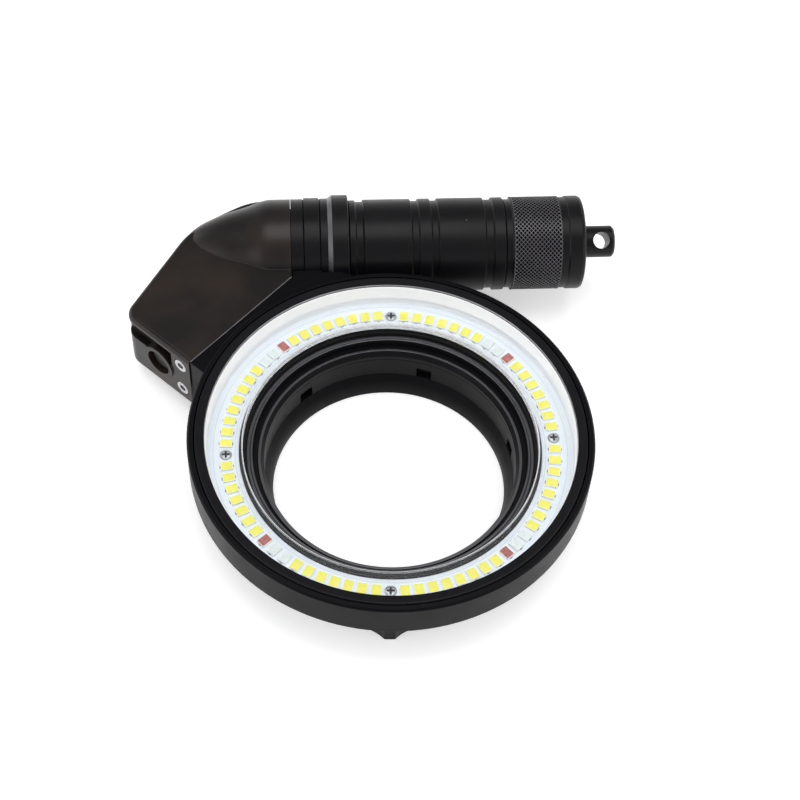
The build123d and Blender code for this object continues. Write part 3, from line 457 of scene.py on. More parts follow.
def package_mesh(slot_list, height):
    """Packages with a pocket in their top."""
    bm = bmesh.new()
    add_block(bm, (lamp_length, lamp_width, height), (lamp_circle, 0, board_top + height / 2))
    upright = [e for e in bm.edges if abs(e.verts[0].co.z - e.verts[1].co.z) > height * MM / 2]
    bmesh.ops.bevel(
        bm, geom=upright, offset=package_corner * MM, segments=2, profile=0.5,
        affect="EDGES", material=-1,
    )
    bm.faces.ensure_lookup_table()
    top = max(bm.faces, key=lambda face: face.calc_center_median().z)
    for thickness, depth in ((package_rim, 0), (pocket_slope, -pocket_depth)):
        bmesh.ops.inset_region(
            bm, faces=[top], thickness=thickness * MM, depth=depth * MM, use_even_offset=True,
        )
    repeat_round(bm, slot_list)
    return bm


def gel_mesh(slot_list, foot, height, crown):
    """Gel in the pockets, a little domed."""
    bm = bmesh.new()
    length = lamp_length - 2 * package_rim - 2 * gel_gap
    width = lamp_width - 2 * package_rim - 2 * gel_gap
    add_block(bm, (length, width, height), (lamp_circle, 0, foot + height / 2))
    upper = [e for e in bm.edges if min(v.co.z for v in e.verts) > (foot + height / 2) * MM]
    bmesh.ops.subdivide_edges(bm, edges=upper, cuts=3, use_grid_fill=True)
    for vert in bm.verts:
        if vert.co.z > (foot + height / 2) * MM:
            across = (vert.co.x / MM - lamp_circle) / (length / 2)
            along = vert.co.y / MM / (width / 2)
            vert.co.z += crown * (1 - across ** 2) * (1 - along ** 2) * MM
    repeat_round(bm, slot_list)
    return bm


def mottle(tree, shader, patch_size, first, second, detail=2.0):
    """Lets a colour wander between two tones, in patches of a size in millimetres."""
    place = add_node(tree, "TexCoord").outputs["Object"]
    patches = add_node(tree, "TexNoise", {"Vector": place, "Scale": 1 / (patch_size * MM), "Detail": detail})
    tone = add_node(tree, "Mix", {
        0: patches.outputs["Fac"], 6: linear(first), 7: linear(second),
    }, data_type="RGBA")
    tree.links.new(tone.outputs[2], shader.inputs["Base Color"])


# Package resin: warm white nylon, moulded, half gloss
package_white, tree, shader = new_material("white lamp package resin", {
    "Base Color": linear("#f3f2ee"), "Roughness": 0.4, "IOR": 1.53,
})
mottle(tree, shader, 3, "#ecebe6", "#f8f8f6")

# Phosphor gel: warm yellow powder in silicone, settled a little unevenly
phosphor, tree, shader = new_material("yellow phosphor gel", {
    "Base Color": linear("#fbef5c"), "Roughness": 0.3, "IOR": 1.41,
    "Subsurface Weight": 0.15, "Subsurface Radius": (0.3, 0.3, 0.1), "Subsurface Scale": 1 * MM,
})
mottle(tree, shader, 1.1, "#fae83e", "#fdf67c", detail=3.0)
fine_grain(tree, shader, 0.25, 0.3, 0.01)

white_packages = new_piece("white_lamp_packages", package_mesh(white_slots, package_height), package_white)
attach(white_packages, "light")
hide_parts("white_lamp_bodies")

gel_foot = board_top + package_height - pocket_depth + gel_gap
bm = gel_mesh(white_slots, gel_foot, height=pocket_depth - 0.03, crown=0.07)
yellow_gel = new_piece("white_lamp_gel", bm, phosphor)
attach(yellow_gel, "light")
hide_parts("white_lamp_phosphors")

# Red gel: brick red, the dye unevenly mixed in
red_gel, tree, shader = new_material("red lamp gel", {
    "Base Color": linear("#b53a2c"), "Roughness": 0.25, "IOR": 1.41,
})
mottle(tree, shader, 1.2, "#8e2e2a", "#dc8a80")

# Clear gel: nearly white, because the package shows through it
clear_gel, tree, shader = new_material("clear lamp gel", {
    "Base Color": linear("#e6eae5"), "Roughness": 0.2, "IOR": 1.41,
})
mottle(tree, shader, 1, "#dbe0d9", "#f7f8f6")

for name, slot_list, gel, node, slot in (
    ("red_lamp", red_slots, red_gel, "red_lamps", "lamp_red"),
    ("clear_lamp", clear_slots, clear_gel, "clear_lamps", "lamp_clear"),
):
    height = box_mm(node)[1].z - board_top
    packages = new_piece(name + "_packages", package_mesh(slot_list, height), package_white)
    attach(packages, "light")
    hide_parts(node)
    foot = board_top + height - pocket_depth + gel_gap
    bm = gel_mesh(slot_list, foot, height=pocket_depth - 0.05, crown=0.04)
    filling = new_piece(name + "_gel", bm, gel)
    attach(filling, "light")


# Board screws. Four small pan-head screws of stainless steel, turned and with a cross recess
# pressed into the head, hold the board down on the housing.
def uneven_gloss(tree, shader, patch_size, low, high, detail=2.0):
    """Lets the roughness wander between two values, in patches of a size in millimetres."""
    place = add_node(tree, "TexCoord").outputs["Object"]
    patches = add_node(tree, "TexNoise", {"Vector": place, "Scale": 1 / (patch_size * MM), "Detail": detail})
    rough = add_node(tree, "MapRange", {"Value": patches.outputs["Fac"], "To Min": low, "To Max": high})
    tree.links.new(rough.outputs["Result"], shader.inputs["Roughness"])


# Stainless steel: bright metal, turned, its tool marks soft and unevenly glossy
stainless, tree, shader = new_material("stainless steel, turned", {
    "Base Color": linear("#b9b9bb"), "Metallic": 1.0, "Roughness": 0.3,
})
uneven_gloss(tree, shader, 0.4, 0.2, 0.42, detail=3.0)
fine_grain(tree, shader, 0.4, 0.3, 0.008, detail=3.0)

# Recess steel: nearly black, as painted shade in the cross recess of each head
recess_shade_steel, tree, shader = new_material("stainless steel, recess in painted shade", {
    "Base Color": linear("#3a3836"), "Metallic": 0.7, "Roughness": 0.6,
})
mottle(tree, shader, 0.5, "#1e1c1b", "#4a4744")

head_radius = 1.7
head_top = box_mm("board_screws")[1].z
head_foot = board_top + 0.01
head_edge = board_top + 0.25
recess_length = 2.2
recess_width = 0.56
recess_depth = 0.5
head_stops = [
    (0, head_top), (head_radius * 0.55, head_top - 0.04), (head_radius * 0.88, head_top - 0.2),
    (head_radius, head_edge), (head_radius, head_foot), (0, head_foot),
]
bm = bmesh.new()
verts = [bm.verts.new(Vector((lamp_circle + radius, 0, height)) * MM) for radius, height in head_stops]
for first, second in zip(verts, verts[1:]):
    bm.edges.new((first, second))
spin_round(bm, Vector((lamp_circle, 0, 0)) * MM, (0, 0, 1), steps=32)
bmesh.ops.recalc_face_normals(bm, faces=bm.faces)
repeat_round(bm, screw_slots)
board_screws = new_piece("board_screw_heads", bm, stainless, recess_shade_steel)

# A cross of two blocks on every head cuts its recess, and is taken away again
cross = bmesh.new()
for size in ((recess_length, recess_width), (recess_width, recess_length)):
    add_block(cross, (*size, 2 * recess_depth), (lamp_circle, 0, head_top))
repeat_round(cross, screw_slots)
# The recess takes the nearly black steel, as painted shade
for face in cross.faces:
    face.material_index = 1
cross_tool = new_piece("cross_tool", cross, stainless, recess_shade_steel)
cut = board_screws.modifiers.new("cross recess", "BOOLEAN")
cut.object = cross_tool
cut.operation = "DIFFERENCE"
cut.solver = "EXACT"
cut.use_self = True
fine = bpy.context.evaluated_depsgraph_get()
carved = bpy.data.meshes.new_from_object(board_screws.evaluated_get(fine))
board_screws.modifiers.clear()
board_screws.data = carved
carved.shade_smooth()
carved.set_sharp_from_angle(angle=radians(40))
bpy.data.objects.remove(cross_tool)
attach(board_screws, "light")
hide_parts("board_screws")


# Window and its seals. A ring of clear polycarbonate, 2.8 mm thick with polished faces, is sealed
# by a white silicone ring at its rim and a black rubber ring at its inner edge.
# White silicone: off-white, soft gloss, a little light goes into it
white_silicone, tree, shader = new_material("white silicone rubber", {
    "Base Color": linear("#f9f9fa"), "Roughness": 0.32, "IOR": 1.42,
    "Subsurface Weight": 0.2, "Subsurface Radius": (1.0, 1.0, 0.9), "Subsurface Scale": 0.8 * MM,
})
mottle(tree, shader, 5, "#f4f5f7", "#fdfdfd")
uneven_gloss(tree, shader, 5, 0.24, 0.42)

# Black rubber: matt, slightly grey
black_rubber, tree, shader = new_material("black nitrile rubber", {
    "Base Color": linear("#0f0f10"), "Roughness": 0.6, "IOR": 1.52, "Specular IOR Level": 0.15,
})
mottle(tree, shader, 6, "#0b0b0c", "#171716", detail=3.0)
fine_grain(tree, shader, 0.4, 0.3, 0.01, detail=3.0)


def clear_shadow(tree, shader, tint):
    """Lets light pass a clear plastic in a tint on its way to a shadow, and returns the output."""
    let_through = add_node(tree, "BsdfTransparent", {"Color": linear(tint)})
    rays = add_node(tree, "LightPath")
    mixed = add_node(tree, "MixShader", {
        0: rays.outputs["Is Shadow Ray"], 1: shader.outputs[0], 2: let_through.outputs[0],
    })
    output = next(node for node in tree.nodes if node.type == "OUTPUT_MATERIAL")
    tree.links.new(mixed.outputs[0], output.inputs["Surface"])
    return output


# Polished polycarbonate: clear, faintly cool. Its shadow is let through, as thin clear sheet does
clear_window, tree, shader = new_material("clear polycarbonate", {
    "Base Color": linear("#f8fbfd"), "Roughness": 0.02, "IOR": 1.58, "Transmission Weight": 1.0,
    "Specular IOR Level": 0.25,
})
clear_shadow(tree, shader, "#f4f7f9")
uneven_gloss(tree, shader, 22, 0.0, 0.025, detail=3.0)

# Its chamfers: fine ground and left matt, so that they catch the light
ground_edge, tree, shader = new_material("polycarbonate, ground edge", {
    "Base Color": linear("#dedfe4"), "Roughness": 0.5, "IOR": 1.58, "Transmission Weight": 0.45,
})
mottle(tree, shader, 0.9, "#b4b5bb", "#f2f2f4", detail=3.0)


def away_from_axis(face):
    """Distance of a face from the ring axis, in millimetres."""
    return sqrt(face.center.x ** 2 + face.center.y ** 2) / MM


window_low, window_high = box_mm("cover_window")
window_edge = 0.35
outer_seal_low, outer_seal_high = box_mm("outer_window_seal")
ridge_low, ridge_high = box_mm("inner_sleeve")
window_inner = ridge_high.x + 0.85
# Pressed against the window's edge, with no air left between them
outer_seal_inner = window_high.x - 0.03
inner_seal_inner = ridge_high.x + 0.05
seal_corner = 0.3
seal_lip_inner = window_inner - 0.32
seal_lip_outer = window_inner - 0.02
seal_lip_top = window_low.z + 0.8

window = turned_piece("window_ring", clear_window, [
    (window_inner, window_low.z + window_edge), (window_inner + window_edge, window_low.z),
    (window_high.x, window_low.z), (window_high.x, window_high.z),
    (window_inner + window_edge, window_high.z), (window_inner, window_high.z - window_edge),
], edge=0.03)
window.data.materials.append(ground_edge)
for face in window.data.polygons:
    on_chamfer = window_inner < away_from_axis(face) < window_inner + window_edge
    face.material_index = int(on_chamfer and 0.3 < face.normal.z < 0.9)
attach(window, "light")
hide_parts("cover_window")

outer_seal = turned_piece("white_seal_ring", white_silicone, [
    (outer_seal_inner, outer_seal_low.z), (outer_seal_high.x, outer_seal_low.z),
    (outer_seal_high.x, outer_seal_high.z), (outer_seal_inner, outer_seal_high.z),
], edge=seal_corner)
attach(outer_seal, "light")
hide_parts("outer_window_seal")

# Lip of the inner seal, which stands up beside the window's edge
seal_lip = turned_piece("black_seal_lip", black_rubber, [
    (seal_lip_inner, seal_high.z), (seal_lip_outer, seal_high.z),
    (seal_lip_outer, seal_lip_top), (seal_lip_inner, seal_lip_top),
], edge=0.08)
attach(seal_lip, "light")

inner_seal = turned_piece("black_seal_ring", black_rubber, [
    (inner_seal_inner, seal_low.z), (seal_high.x, seal_low.z),
    (seal_high.x, seal_high.z), (inner_seal_inner, seal_high.z),
], edge=seal_corner)
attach(inner_seal, "light")
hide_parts("inner_window_seal")


# Bezel. A thin turned ring, gloss black anodised, is pressed over the white seal and leaves a
# narrow groove inside the rim. The upper slope of its inner edge is bright metal, as painted highlight along
# that edge.
bezel_low, bezel_high = box_mm("bezel_ring")
bezel_outer = bezel_high.x
bezel_top = bezel_high.z
bezel_corner = 0.25
bezel_wall_inner = bezel_outer - 1.7
crest = bezel_outer - 0.6
lip_inner = bezel_outer - 2.9
lip_foot = bezel_top - 0.9
# The lip's edge: black at its foot, then bright metal on a slope up to the top, as painted highlight
highlight_foot = lip_foot + 0.28
highlight_top = highlight_foot + 0.42
highlight_outer = lip_inner + 0.16
anodised_bezel = black_anodised("bright dipped", "#0f0f11", 0.3, gloss=0.08, lathe_axis="Z")

# Bright metal on the lip's slope, as painted highlight; its tone wanders in patches
lip_highlight_metal, tree, shader = new_material("bright metal, painted highlight on the lip", {
    "Base Color": linear("#b4b4b8"), "Metallic": 1.0, "Roughness": 0.3,
})
mottle(tree, shader, 3, "#8f8f94", "#d2d2d6", detail=3.0)

bezel = turned_piece("bezel", anodised_bezel, [
    (lip_inner, lip_foot), (bezel_wall_inner, lip_foot),
    (bezel_wall_inner, bezel_low.z), (bezel_outer, bezel_low.z),
    (bezel_outer, bezel_top - bezel_corner), (bezel_outer - bezel_corner, bezel_top),
    (crest, bezel_top), (highlight_outer, highlight_top), (lip_inner, highlight_foot),
], edge=0.05, steps=320)
bezel.data.materials.append(lip_highlight_metal)
for face in bezel.data.polygons:
    on_highlight = away_from_axis(face) < highlight_outer and face.center.z / MM > highlight_foot
    face.material_index = int(on_highlight and face.normal.z < 0.7)
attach(bezel, "light")
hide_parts("bezel_ring")


# Inner sleeve, journal sleeve, their snap ring and lock ring. Turned aluminium, black anodised: the
# sleeve has a turned flange under the window's edge, painted lighter as highlight, and steps down into
# the throat, and the lock ring turns behind it on the journal.
sleeve_foot = ridge_low.z
sleeve_outer = 39.5
# The flange is cut flat in two passes, with a fine groove between them
flange_outer = ridge_high.x
flange_inner = flange_outer - 1.8
flange_top = board_low.z + 1.15
groove_outer = flange_outer - 0.85
groove_inner = flange_outer - 1.15
groove_floor = flange_top - 0.2
# Below it the throat narrows over a flat lip and a cone
lip = 37.2
lip_width = 0.7
lip_top = flange_top - 2.3
shelf = lip_top - 0.6
throat = 36.2
throat_top = lip_top - 1.6
throat_foot = ridge_high.z - 9.0
throat_wall = 1.4
# The turned cuts are glossier than the blasted throat; their lighter colour is painted highlight
flange_gloss_and_highlight = black_anodised("fine cut, painted highlight", "#1c1c22", 0.3, gloss=0.8, lathe_axis="Z")
anodised_matt = black_anodised("blasted throat", "#0b0b0d", 0.4, gloss=0.07, lathe_axis="Z")
inner_sleeve = turned_piece("throat_sleeve", flange_gloss_and_highlight, [
    (sleeve_outer, sleeve_foot), (sleeve_outer, board_low.z), (flange_outer, board_low.z),
    (flange_outer, groove_floor), (flange_outer - 0.15, flange_top - 0.05), (groove_outer, flange_top - 0.05),
    (groove_outer - 0.1, groove_floor), (groove_inner + 0.1, groove_floor), (groove_inner, flange_top),
    (flange_inner + 0.1, flange_top), (flange_inner, flange_top - 0.1), (flange_inner, shelf),
    (lip + lip_width + 0.1, shelf), (lip + lip_width, lip_top), (lip, lip_top), (throat, throat_top),
    (throat, throat_foot), (throat + throat_wall, throat_foot), (throat + throat_wall, sleeve_foot),
], edge=0.08)
inner_sleeve.data.materials.append(anodised_matt)
for face in inner_sleeve.data.polygons:
    away = away_from_axis(face)
    is_cut = away > flange_inner + 0.05 or lip - 0.05 < away < lip + lip_width + 0.02
    face.material_index = int(not is_cut)
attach(inner_sleeve, "light")
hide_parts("inner_sleeve")

journal_sleeve = dressed_copy("journal_sleeve", "journal", anodised_matt, edge=0.1)
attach(journal_sleeve, "light")
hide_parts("journal_sleeve")

lock_ring = dressed_copy("lock_ring", "finger_ring", anodised_matt, edge=0.12)
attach(lock_ring, "lock_ring_body")
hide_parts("lock_ring")


def give(node, material):
    """Gives a CAD node that stays in view its own material."""
    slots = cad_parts[node].data.materials
    slots.clear()
    slots.append(material)


# Spring steel: blued grey wire and strip
spring_steel, tree, shader = new_material("spring steel", {
    "Base Color": linear("#8d8f93"), "Metallic": 1.0, "Roughness": 0.38,
})
mottle(tree, shader, 0.7, "#77797e", "#a3a5a8", detail=3.0)

# Black nylon: moulded, with a fine spark-eroded grain
black_nylon, tree, shader = new_material("black nylon, moulded", {
    "Base Color": linear("#1b1a1b"), "Roughness": 0.5, "IOR": 1.53,
})
mottle(tree, shader, 4, "#151415", "#222122")
fine_grain(tree, shader, 0.35, 0.35, 0.012, detail=3.0)

give("retaining_ring", spring_steel)
give("lock_washer", black_nylon)


# Switch housing. Moulded of smoked polycarbonate and polished, bolted to the wing of the ring over
# a rubber gasket. The orange seals of the tube's neck and the board inside glow faintly through it.
smoke_density = 650.0
smoked_plastic, tree, shader = new_material("smoked polycarbonate", {
    "Base Color": linear("#241b17"), "Roughness": 0.34, "IOR": 1.58, "Transmission Weight": 0.3,
    "Specular IOR Level": 0.1,
})
smoke = add_node(tree, "VolumeAbsorption", {"Color": linear("#a5897a"), "Density": smoke_density})
tree.links.new(smoke.outputs[0], clear_shadow(tree, shader, "#7d6c61").inputs["Volume"])
uneven_gloss(tree, shader, 12, 0.3, 0.38, detail=3.0)
place = add_node(tree, "TexCoord").outputs["Object"]
# The melt has cooled unevenly, in patches of browner and blacker smoke
patches = add_node(tree, "TexNoise", {"Vector": place, "Scale": 1 / (16 * MM), "Detail": 2.0})
patch = add_node(tree, "MapRange", {"Value": patches.outputs["Fac"], "From Min": 0.35, "From Max": 0.65})
brown = add_node(tree, "Mix", {
    0: patch.outputs["Result"], 6: linear("#161211"), 7: linear("#2a201b"),
}, data_type="RGBA")
tree.links.new(brown.outputs[2], shader.inputs["Base Color"])

switch_housing = dressed_copy("switch_housing", "smoked_housing", smoked_plastic, edge=0.15)
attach(switch_housing, "light")
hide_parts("switch_housing")

housing_plug = dressed_copy("housing_plug", "blind_plug", smoked_plastic, edge=0.2)
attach(housing_plug, "light")
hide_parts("housing_plug")

side_screws = dressed_copy("side_screws", "housing_screws", stainless, edge=0.12)
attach(side_screws, "light")
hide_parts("side_screws")

# Grey bead along the joint over the gasket, on top of the wing: a painted highlight of the joint's edge
joint_turn = 46
joint_along = (-19.8, 23.0)
joint_away = 59.8
bead_width = 0.2
bead_height = 0.8
bead_centre = 26.95
joint_highlight_grey, tree, shader = new_material("grey bead, painted highlight of the joint", {
    "Base Color": linear("#747277"), "Roughness": 0.5, "IOR": 1.42,
})
mottle(tree, shader, 4, "#59575c", "#8d8b90", detail=3.0)
bm = bmesh.new()
add_block(
    bm, (joint_along[1] - joint_along[0], bead_width, bead_height),
    (sum(joint_along) / 2, joint_away, bead_centre),
)
bmesh.ops.rotate(bm, verts=bm.verts, cent=(0, 0, 0), matrix=Matrix.Rotation(radians(joint_turn), 3, "Z"))
joint_highlight_bead = new_piece("joint_highlight_bead", bm, joint_highlight_grey)
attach(joint_highlight_bead, "light")

give("flat_gasket", black_rubber)
give("flat_screws", stainless)


# Push button and the switch behind it. The button is moulded nylon on a stem through a rubber
# seal, held by a steel clip; it presses a small touch switch on its carrier.
push_button = dressed_copy("push_button", "button_cap", black_nylon, edge=0.1)
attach(push_button, "button")
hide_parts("push_button")

# Component plastic: dark grey epoxy, moulded and dull
component_black, tree, shader = new_material("black epoxy moulding", {
    "Base Color": linear("#202022"), "Roughness": 0.45, "IOR": 1.55,
})
mottle(tree, shader, 0.5, "#1a1a1c", "#2a2a2d")

give("button_clip", spring_steel)
give("button_seal", black_rubber)
give("button_spring", spring_steel)
give("switch_plunger", component_black)
give("touch_switch", component_black)
give("switch_carrier", black_nylon)


# Driver board and its wires. Glass-epoxy board under green mask, with moulded components, and
# silicone-covered wires to the lamps and to the cell.
# Green solder mask: glossy. The glass weave just shows, its 0.6 mm squares drawn as 1.2 mm
green_mask, tree, shader = new_material("green solder mask", {
    "Base Color": linear("#1d5a3a"), "Roughness": 0.3, "IOR": 1.5,
})
place = add_node(tree, "TexCoord").outputs["Object"]
weave = add_node(tree, "TexChecker", {
    "Vector": place, "Scale": 1 / (1.2 * MM), "Color1": linear("#1a5335"), "Color2": linear("#226544"),
})
tree.links.new(weave.outputs["Color"], shader.inputs["Base Color"])

# Silicone insulation: soft red rubber
red_silicone, tree, shader = new_material("red silicone insulation", {
    "Base Color": linear("#8e2018"), "Roughness": 0.42, "IOR": 1.42,
})
mottle(tree, shader, 2, "#7c1a14", "#a02a1f")

give("driver_board", green_mask)
give("driver_components", component_black)
give("lamp_wires", red_silicone)
give("battery_wire", red_silicone)


# Battery tube. Neck, union nut, tube and tail cap are turned aluminium, black anodised; the neck
# plugs into the housing on two orange seals and the cap screws on over two black ones.
neck_low, neck_high = box_mm("tube_neck")
nut_low, nut_high = box_mm("union_nut")
body_low, body_high = box_mm("battery_tube")
cap_low, cap_high = box_mm("tail_cap")
anodised_tube = black_anodised("tube", "#0a0a0c", 0.36, gloss=0.12, lathe_axis="X")
tube_y = (body_low.y + body_high.y) / 2
tube_z = (body_low.z + body_high.z) / 2
tube_axis = Vector((0, tube_y, tube_z)) * MM
tube_radius = (body_high.z - body_low.z) / 2
nut_radius = (nut_high.z - nut_low.z) / 2
collar_radius = 14.8
union_radius = 15.1
shoulder_radius = 14.85
spigot_radius = 12.3
spigot_bore = spigot_radius + 0.05
chamber_radius = 11.0
seal_size = 1.3
seal_depth = 1.1


def seal_groove(centre, radius):
    """Outline stops of a seal's groove."""
    half = seal_size / 2 + 0.1
    return [
        (centre - half, radius), (centre - half, radius - seal_depth),
        (centre + half, radius - seal_depth), (centre + half, radius),
    ]


neck_start = -26.9
neck_spigot = 11.8
neck_bore = 8.6
# A web across the neck holds the front contact in its hole
web_start = neck_start + 0.5
web_end = neck_start + 2.7
web_hole = 5.0
union_start = neck_start + 3.85
union_end = union_start + 4.95
neck_end = nut_low.x - 0.05
neck_stops = [(neck_low.x, neck_bore), (neck_low.x, neck_spigot - 0.4), (neck_low.x + 0.4, neck_spigot)]
for centre in (neck_low.x + 1.1, neck_low.x + 5.6):
    neck_stops += seal_groove(centre, neck_spigot)
neck_stops += [
    (neck_start, neck_spigot), (neck_start, collar_radius), (union_start - 0.2, collar_radius),
    (union_start, collar_radius - 0.4), (union_start + 0.2, union_radius), (union_end - 0.2, union_radius),
    (union_end, shoulder_radius - 0.4), (union_end + 0.2, shoulder_radius), (neck_end, shoulder_radius),
    (neck_end, spigot_radius), (neck_high.x, spigot_radius), (neck_high.x, chamber_radius),
    (web_end, chamber_radius), (web_end, web_hole), (web_start, web_hole), (web_start, neck_bore),
]
tube_neck = turned_piece("neck", anodised_tube, neck_stops, edge=0.07, steps=160, about_tube=True)
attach(tube_neck, "light")
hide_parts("tube_neck")

# Nut: smooth. Its taper is a lighter, glossier black, as painted highlight
taper_end = nut_low.x + 1.45
nut_corner = 0.3
taper_highlight_paint = black_anodised("taper, painted highlight", "#26262a", 0.3, gloss=0.5, lathe_axis="X")
union_nut = turned_piece("taper_nut", anodised_tube, [
    (nut_low.x, spigot_bore), (nut_low.x, shoulder_radius), (taper_end, nut_radius),
    (nut_high.x - nut_corner, nut_radius), (nut_high.x, nut_radius - nut_corner), (nut_high.x, spigot_bore),
], edge=0.1, steps=160, about_tube=True)
union_nut.data.materials.append(taper_highlight_paint)
for face in union_nut.data.polygons:
    face.material_index = int(face.center.x < taper_end * MM and 0.2 < abs(face.normal.x) < 0.9)
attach(union_nut, "light")
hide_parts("union_nut")

# Orange silicone of the neck's seals, bright and glossy with grease
orange_silicone, tree, shader = new_material("orange silicone rubber", {
    "Base Color": linear("#d9541a"), "Roughness": 0.28, "IOR": 1.42,
})
mottle(tree, shader, 3, "#cf4c14", "#e46a2a")
give("neck_seals", orange_silicone)
give("tail_seals", black_rubber)

# Tube: four turned grooves with sloping sides, and a threaded spigot for the cap
body_start = body_low.x
body_end = cap_low.x - 0.1
waist = tube_radius - 0.65
groove_slope = 0.4
nose_radius = 14.15
tail_spigot = 12.5
thread_core = 11.95
thread_start = body_end + 6.0
thread_end = body_high.x - 0.9
body_stops = [
    (body_start, spigot_bore), (body_start, nose_radius - 0.3), (body_start + 0.3, nose_radius),
]
# Each groove begins at the radius of what lies before it: the nose, and then the tube
for start, width, before in (
    (1.95, 2.7, nose_radius), (18.95, 2.6, tube_radius), (24.95, 2.5, tube_radius), (41.35, 2.9, tube_radius),
):
    begin = body_start + start
    end = begin + width
    body_stops += [
        (begin, before), (begin + groove_slope, waist), (end - groove_slope, waist), (end, tube_radius),
    ]
body_stops += [(body_end - groove_slope, tube_radius), (body_end, waist), (body_end, tail_spigot)]
for centre in (body_end + 2.15, body_end + 4.75):
    body_stops += seal_groove(centre, tail_spigot)
body_stops += [
    (thread_start, tail_spigot), (thread_start, thread_core), (thread_end, thread_core),
    (body_high.x, thread_core - 0.4), (body_high.x, chamber_radius), (neck_high.x + 0.1, chamber_radius),
    (neck_high.x + 0.1, spigot_bore),
]
battery_tube = turned_piece("cell_tube", anodised_tube, body_stops, edge=0.08, steps=160, about_tube=True)
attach(battery_tube, "light")
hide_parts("battery_tube")

# Thread of the spigot: a ridge wound round its core, which shows when the cap is off
thread_pitch = 1.25
thread_turns = (thread_end - thread_start - 0.2) / thread_pitch - 1
thread_steps = 48
thread_crest = tail_spigot - 0.02
thread_foot = thread_core - 0.1
ridge_stops = [
    (0, thread_foot), (0.1, thread_core), (0.5, thread_crest),
    (0.7, thread_crest), (1.1, thread_core), (1.2, thread_foot),
]
bm = bmesh.new()
verts = [
    bm.verts.new(Vector((thread_start + 0.1 + place, tube_y, tube_z + radius)) * MM)
    for place, radius in ridge_stops
]
bm.faces.new(verts)
bmesh.ops.spin(
    bm, geom=bm.verts[:] + bm.edges[:] + bm.faces[:], cent=tube_axis, axis=(1, 0, 0),
    dvec=(thread_pitch * MM / thread_steps, 0, 0), angle=2 * pi * thread_turns,
    steps=int(thread_turns * thread_steps),
)
bmesh.ops.recalc_face_normals(bm, faces=bm.faces)
thread = new_piece("spigot_thread", bm, anodised_tube)
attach(thread, "light")


# Tail cap. Turned and black anodised, with a diamond knurl pressed into its grip between two
# grooves, and a smooth band at its end.
cap_start = cap_low.x
cap_end = cap_high.x
grip_start = cap_start + 2.2
grip_end = grip_start + 14.6
end_start = grip_end + 2.5
end_radius = (cap_high.z - cap_low.z) / 2
grip_radius = end_radius - 0.02
end_bevel = 1.3
# Halfway down the bevel its corner is broken, so that it looks rounded
bevel_bend = 0.39
cap_bore = tail_spigot + 0.05
post_hole = 2.45
end_wall = cap_end - 4.0
knurl_depth = 0.34
knurl_count = 64
knurl_pitch = 1.27
ridge_width = 0.16
# The turned core lies just under the pits of the knurl
knurl_core = grip_radius - knurl_depth - 0.02
cap_stops = [
    (cap_start, cap_bore), (cap_start, waist), (grip_start - groove_slope, waist),
    (grip_start - 0.05, knurl_core), (grip_end + 0.05, knurl_core),
    (grip_end + groove_slope, waist + groove_slope), (end_start - groove_slope, waist + groove_slope),
    (end_start, end_radius), (cap_end - end_bevel, end_radius),
    (cap_end - bevel_bend, end_radius - bevel_bend), (cap_end, end_radius - end_bevel),
    (cap_end, post_hole), (end_wall, post_hole), (end_wall, chamber_radius),
    (body_high.x + 1.2, chamber_radius), (body_high.x + 1.2, cap_bore),
]
tail_cap = turned_piece("cap_body", anodised_tube, cap_stops, edge=0.1, steps=160, about_tube=True)
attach(tail_cap, "tail")
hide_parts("tail_cap")

# Knurl flanks: dull and a deeper black than the tube, as painted shade in the pits
shaded_knurl_flanks = black_anodised("knurl flanks", "#060607", 0.45, gloss=0.04, lathe_axis="")
# Ridges: the same coat, lighter and glossier, as painted highlight along the net
ridge_painted_highlight = black_anodised("ridges, painted highlight", "#4c4a4e", 0.33, gloss=0.55, lathe_axis="")

# The knurl is a net of raised ridges round sunk diamonds. The grid has a point in every diamond and
# at every crossing of two ridges, and the ridges join the crossings.
bm = bmesh.new()
rows = 2 * round((grip_end - grip_start) / knurl_pitch) + 1
length = grip_end - grip_start
column = [
    bm.verts.new(Vector((grip_start + length * row / rows, tube_y, tube_z + grip_radius)) * MM)
    for row in range(rows + 1)
]
for first, second in zip(column, column[1:]):
    bm.edges.new((first, second))
spin_round(bm, tube_axis, (1, 0, 0), steps=knurl_count * 2)


def set_radius(verts, radius):
    """Moves points to a radius about the tube's axis, in millimetres."""
    for vert in verts:
        away = vert.co - tube_axis
        away.x = 0
        vert.co = Vector((vert.co.x, tube_axis.y, tube_axis.z)) + away.normalized() * radius * MM


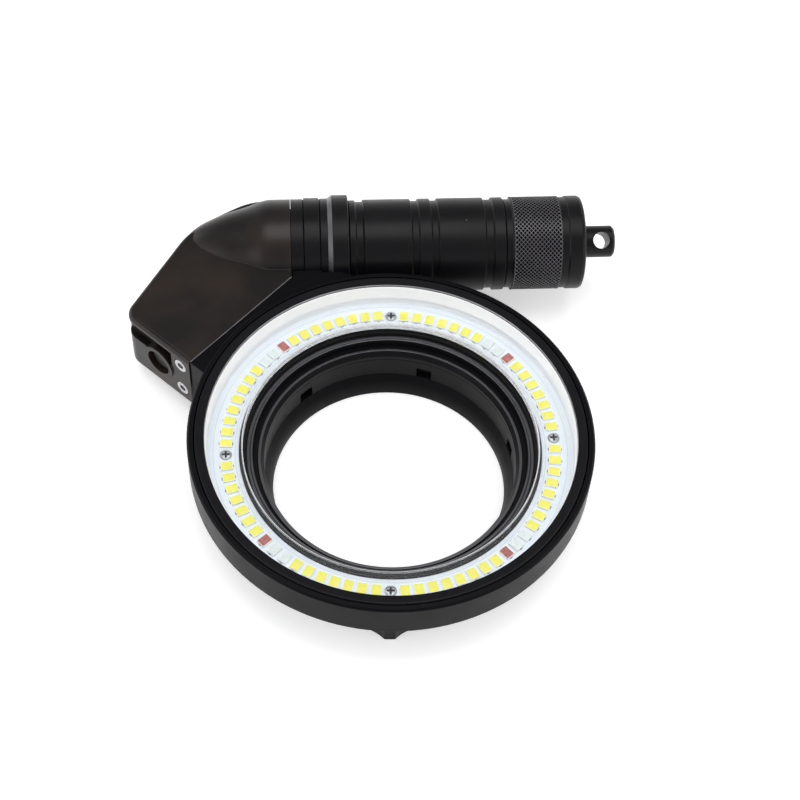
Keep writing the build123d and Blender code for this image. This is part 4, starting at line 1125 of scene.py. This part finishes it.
crossings, pits = [], []
for vert in bm.verts:
    away = vert.co - tube_axis
    turn = atan2(away.y, away.z) / (2 * pi) * knurl_count * 2
    row = (away.x / MM - grip_start) / length * rows
    is_pit = (round(turn) + round(row)) % 2 == 1 and 0.5 < row < rows - 0.5
    (pits if is_pit else crossings).append(vert)
set_radius(pits, grip_radius - knurl_depth)
ridges = bmesh.ops.connect_verts(bm, verts=crossings)["edges"]
# The ridge tops take the lighter ridge material, a painted highlight
bmesh.ops.bevel(
    bm, geom=ridges, offset=ridge_width / 2 * MM, segments=1, profile=0.5,
    affect="EDGES", material=1,
)
# The net's two ends go down into the core, so that no open edge shows
edges = [edge for edge in bm.edges if len(edge.link_faces) == 1]
inner = bmesh.ops.extrude_edge_only(bm, edges=edges)["geom"]
set_radius([part for part in inner if isinstance(part, bmesh.types.BMVert)], grip_radius - knurl_depth - 0.4)
bmesh.ops.recalc_face_normals(bm, faces=bm.faces)
knurl = new_piece("knurled_grip", bm, shaded_knurl_flanks)
knurl.data.materials.append(ridge_painted_highlight)
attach(knurl, "tail")


# Lanyard post. A turned stud screwed into the cap, cross-drilled and countersunk for a cord.
lanyard_post = dressed_copy("lanyard_post", "cord_post", anodised_tube, edge=0.12)
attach(lanyard_post, "tail")
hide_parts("lanyard_post")


# Cell and its contacts. One 21700 cell in blue shrink wrap, a brass pin in a nylon disc at its
# front, and a brass disc with a steel spring in the cap.
# Shrink wrap: thin glossy film, drawn tight
shrink_wrap, tree, shader = new_material("blue shrink wrap", {
    "Base Color": linear("#1d4a78"), "Roughness": 0.25, "IOR": 1.54,
})
mottle(tree, shader, 8, "#183f68", "#235787", detail=3.0)

# Brass: turned, warm yellow. Its tool marks are drawn as soft bands, 3.14 mm apart
brass, tree, shader = new_material("brass, turned", {
    "Base Color": linear("#d6b06a"), "Metallic": 1.0, "Roughness": 0.28,
})
place = add_node(tree, "TexCoord").outputs["Object"]
marks = add_node(tree, "TexWave", {
    "Vector": place, "Scale": 0.314 / (3.14 * MM), "Distortion": 1.0,
}, bands_direction="X")
rough = add_node(tree, "MapRange", {"Value": marks.outputs["Fac"], "To Min": 0.22, "To Max": 0.36})
tree.links.new(rough.outputs["Result"], shader.inputs["Roughness"])

give("cell_body", shrink_wrap)
give("cell_nub", stainless)
give("front_contact", brass)
give("contact_insulator", black_nylon)
give("tail_contact", brass)
give("tail_spring", spring_steel)
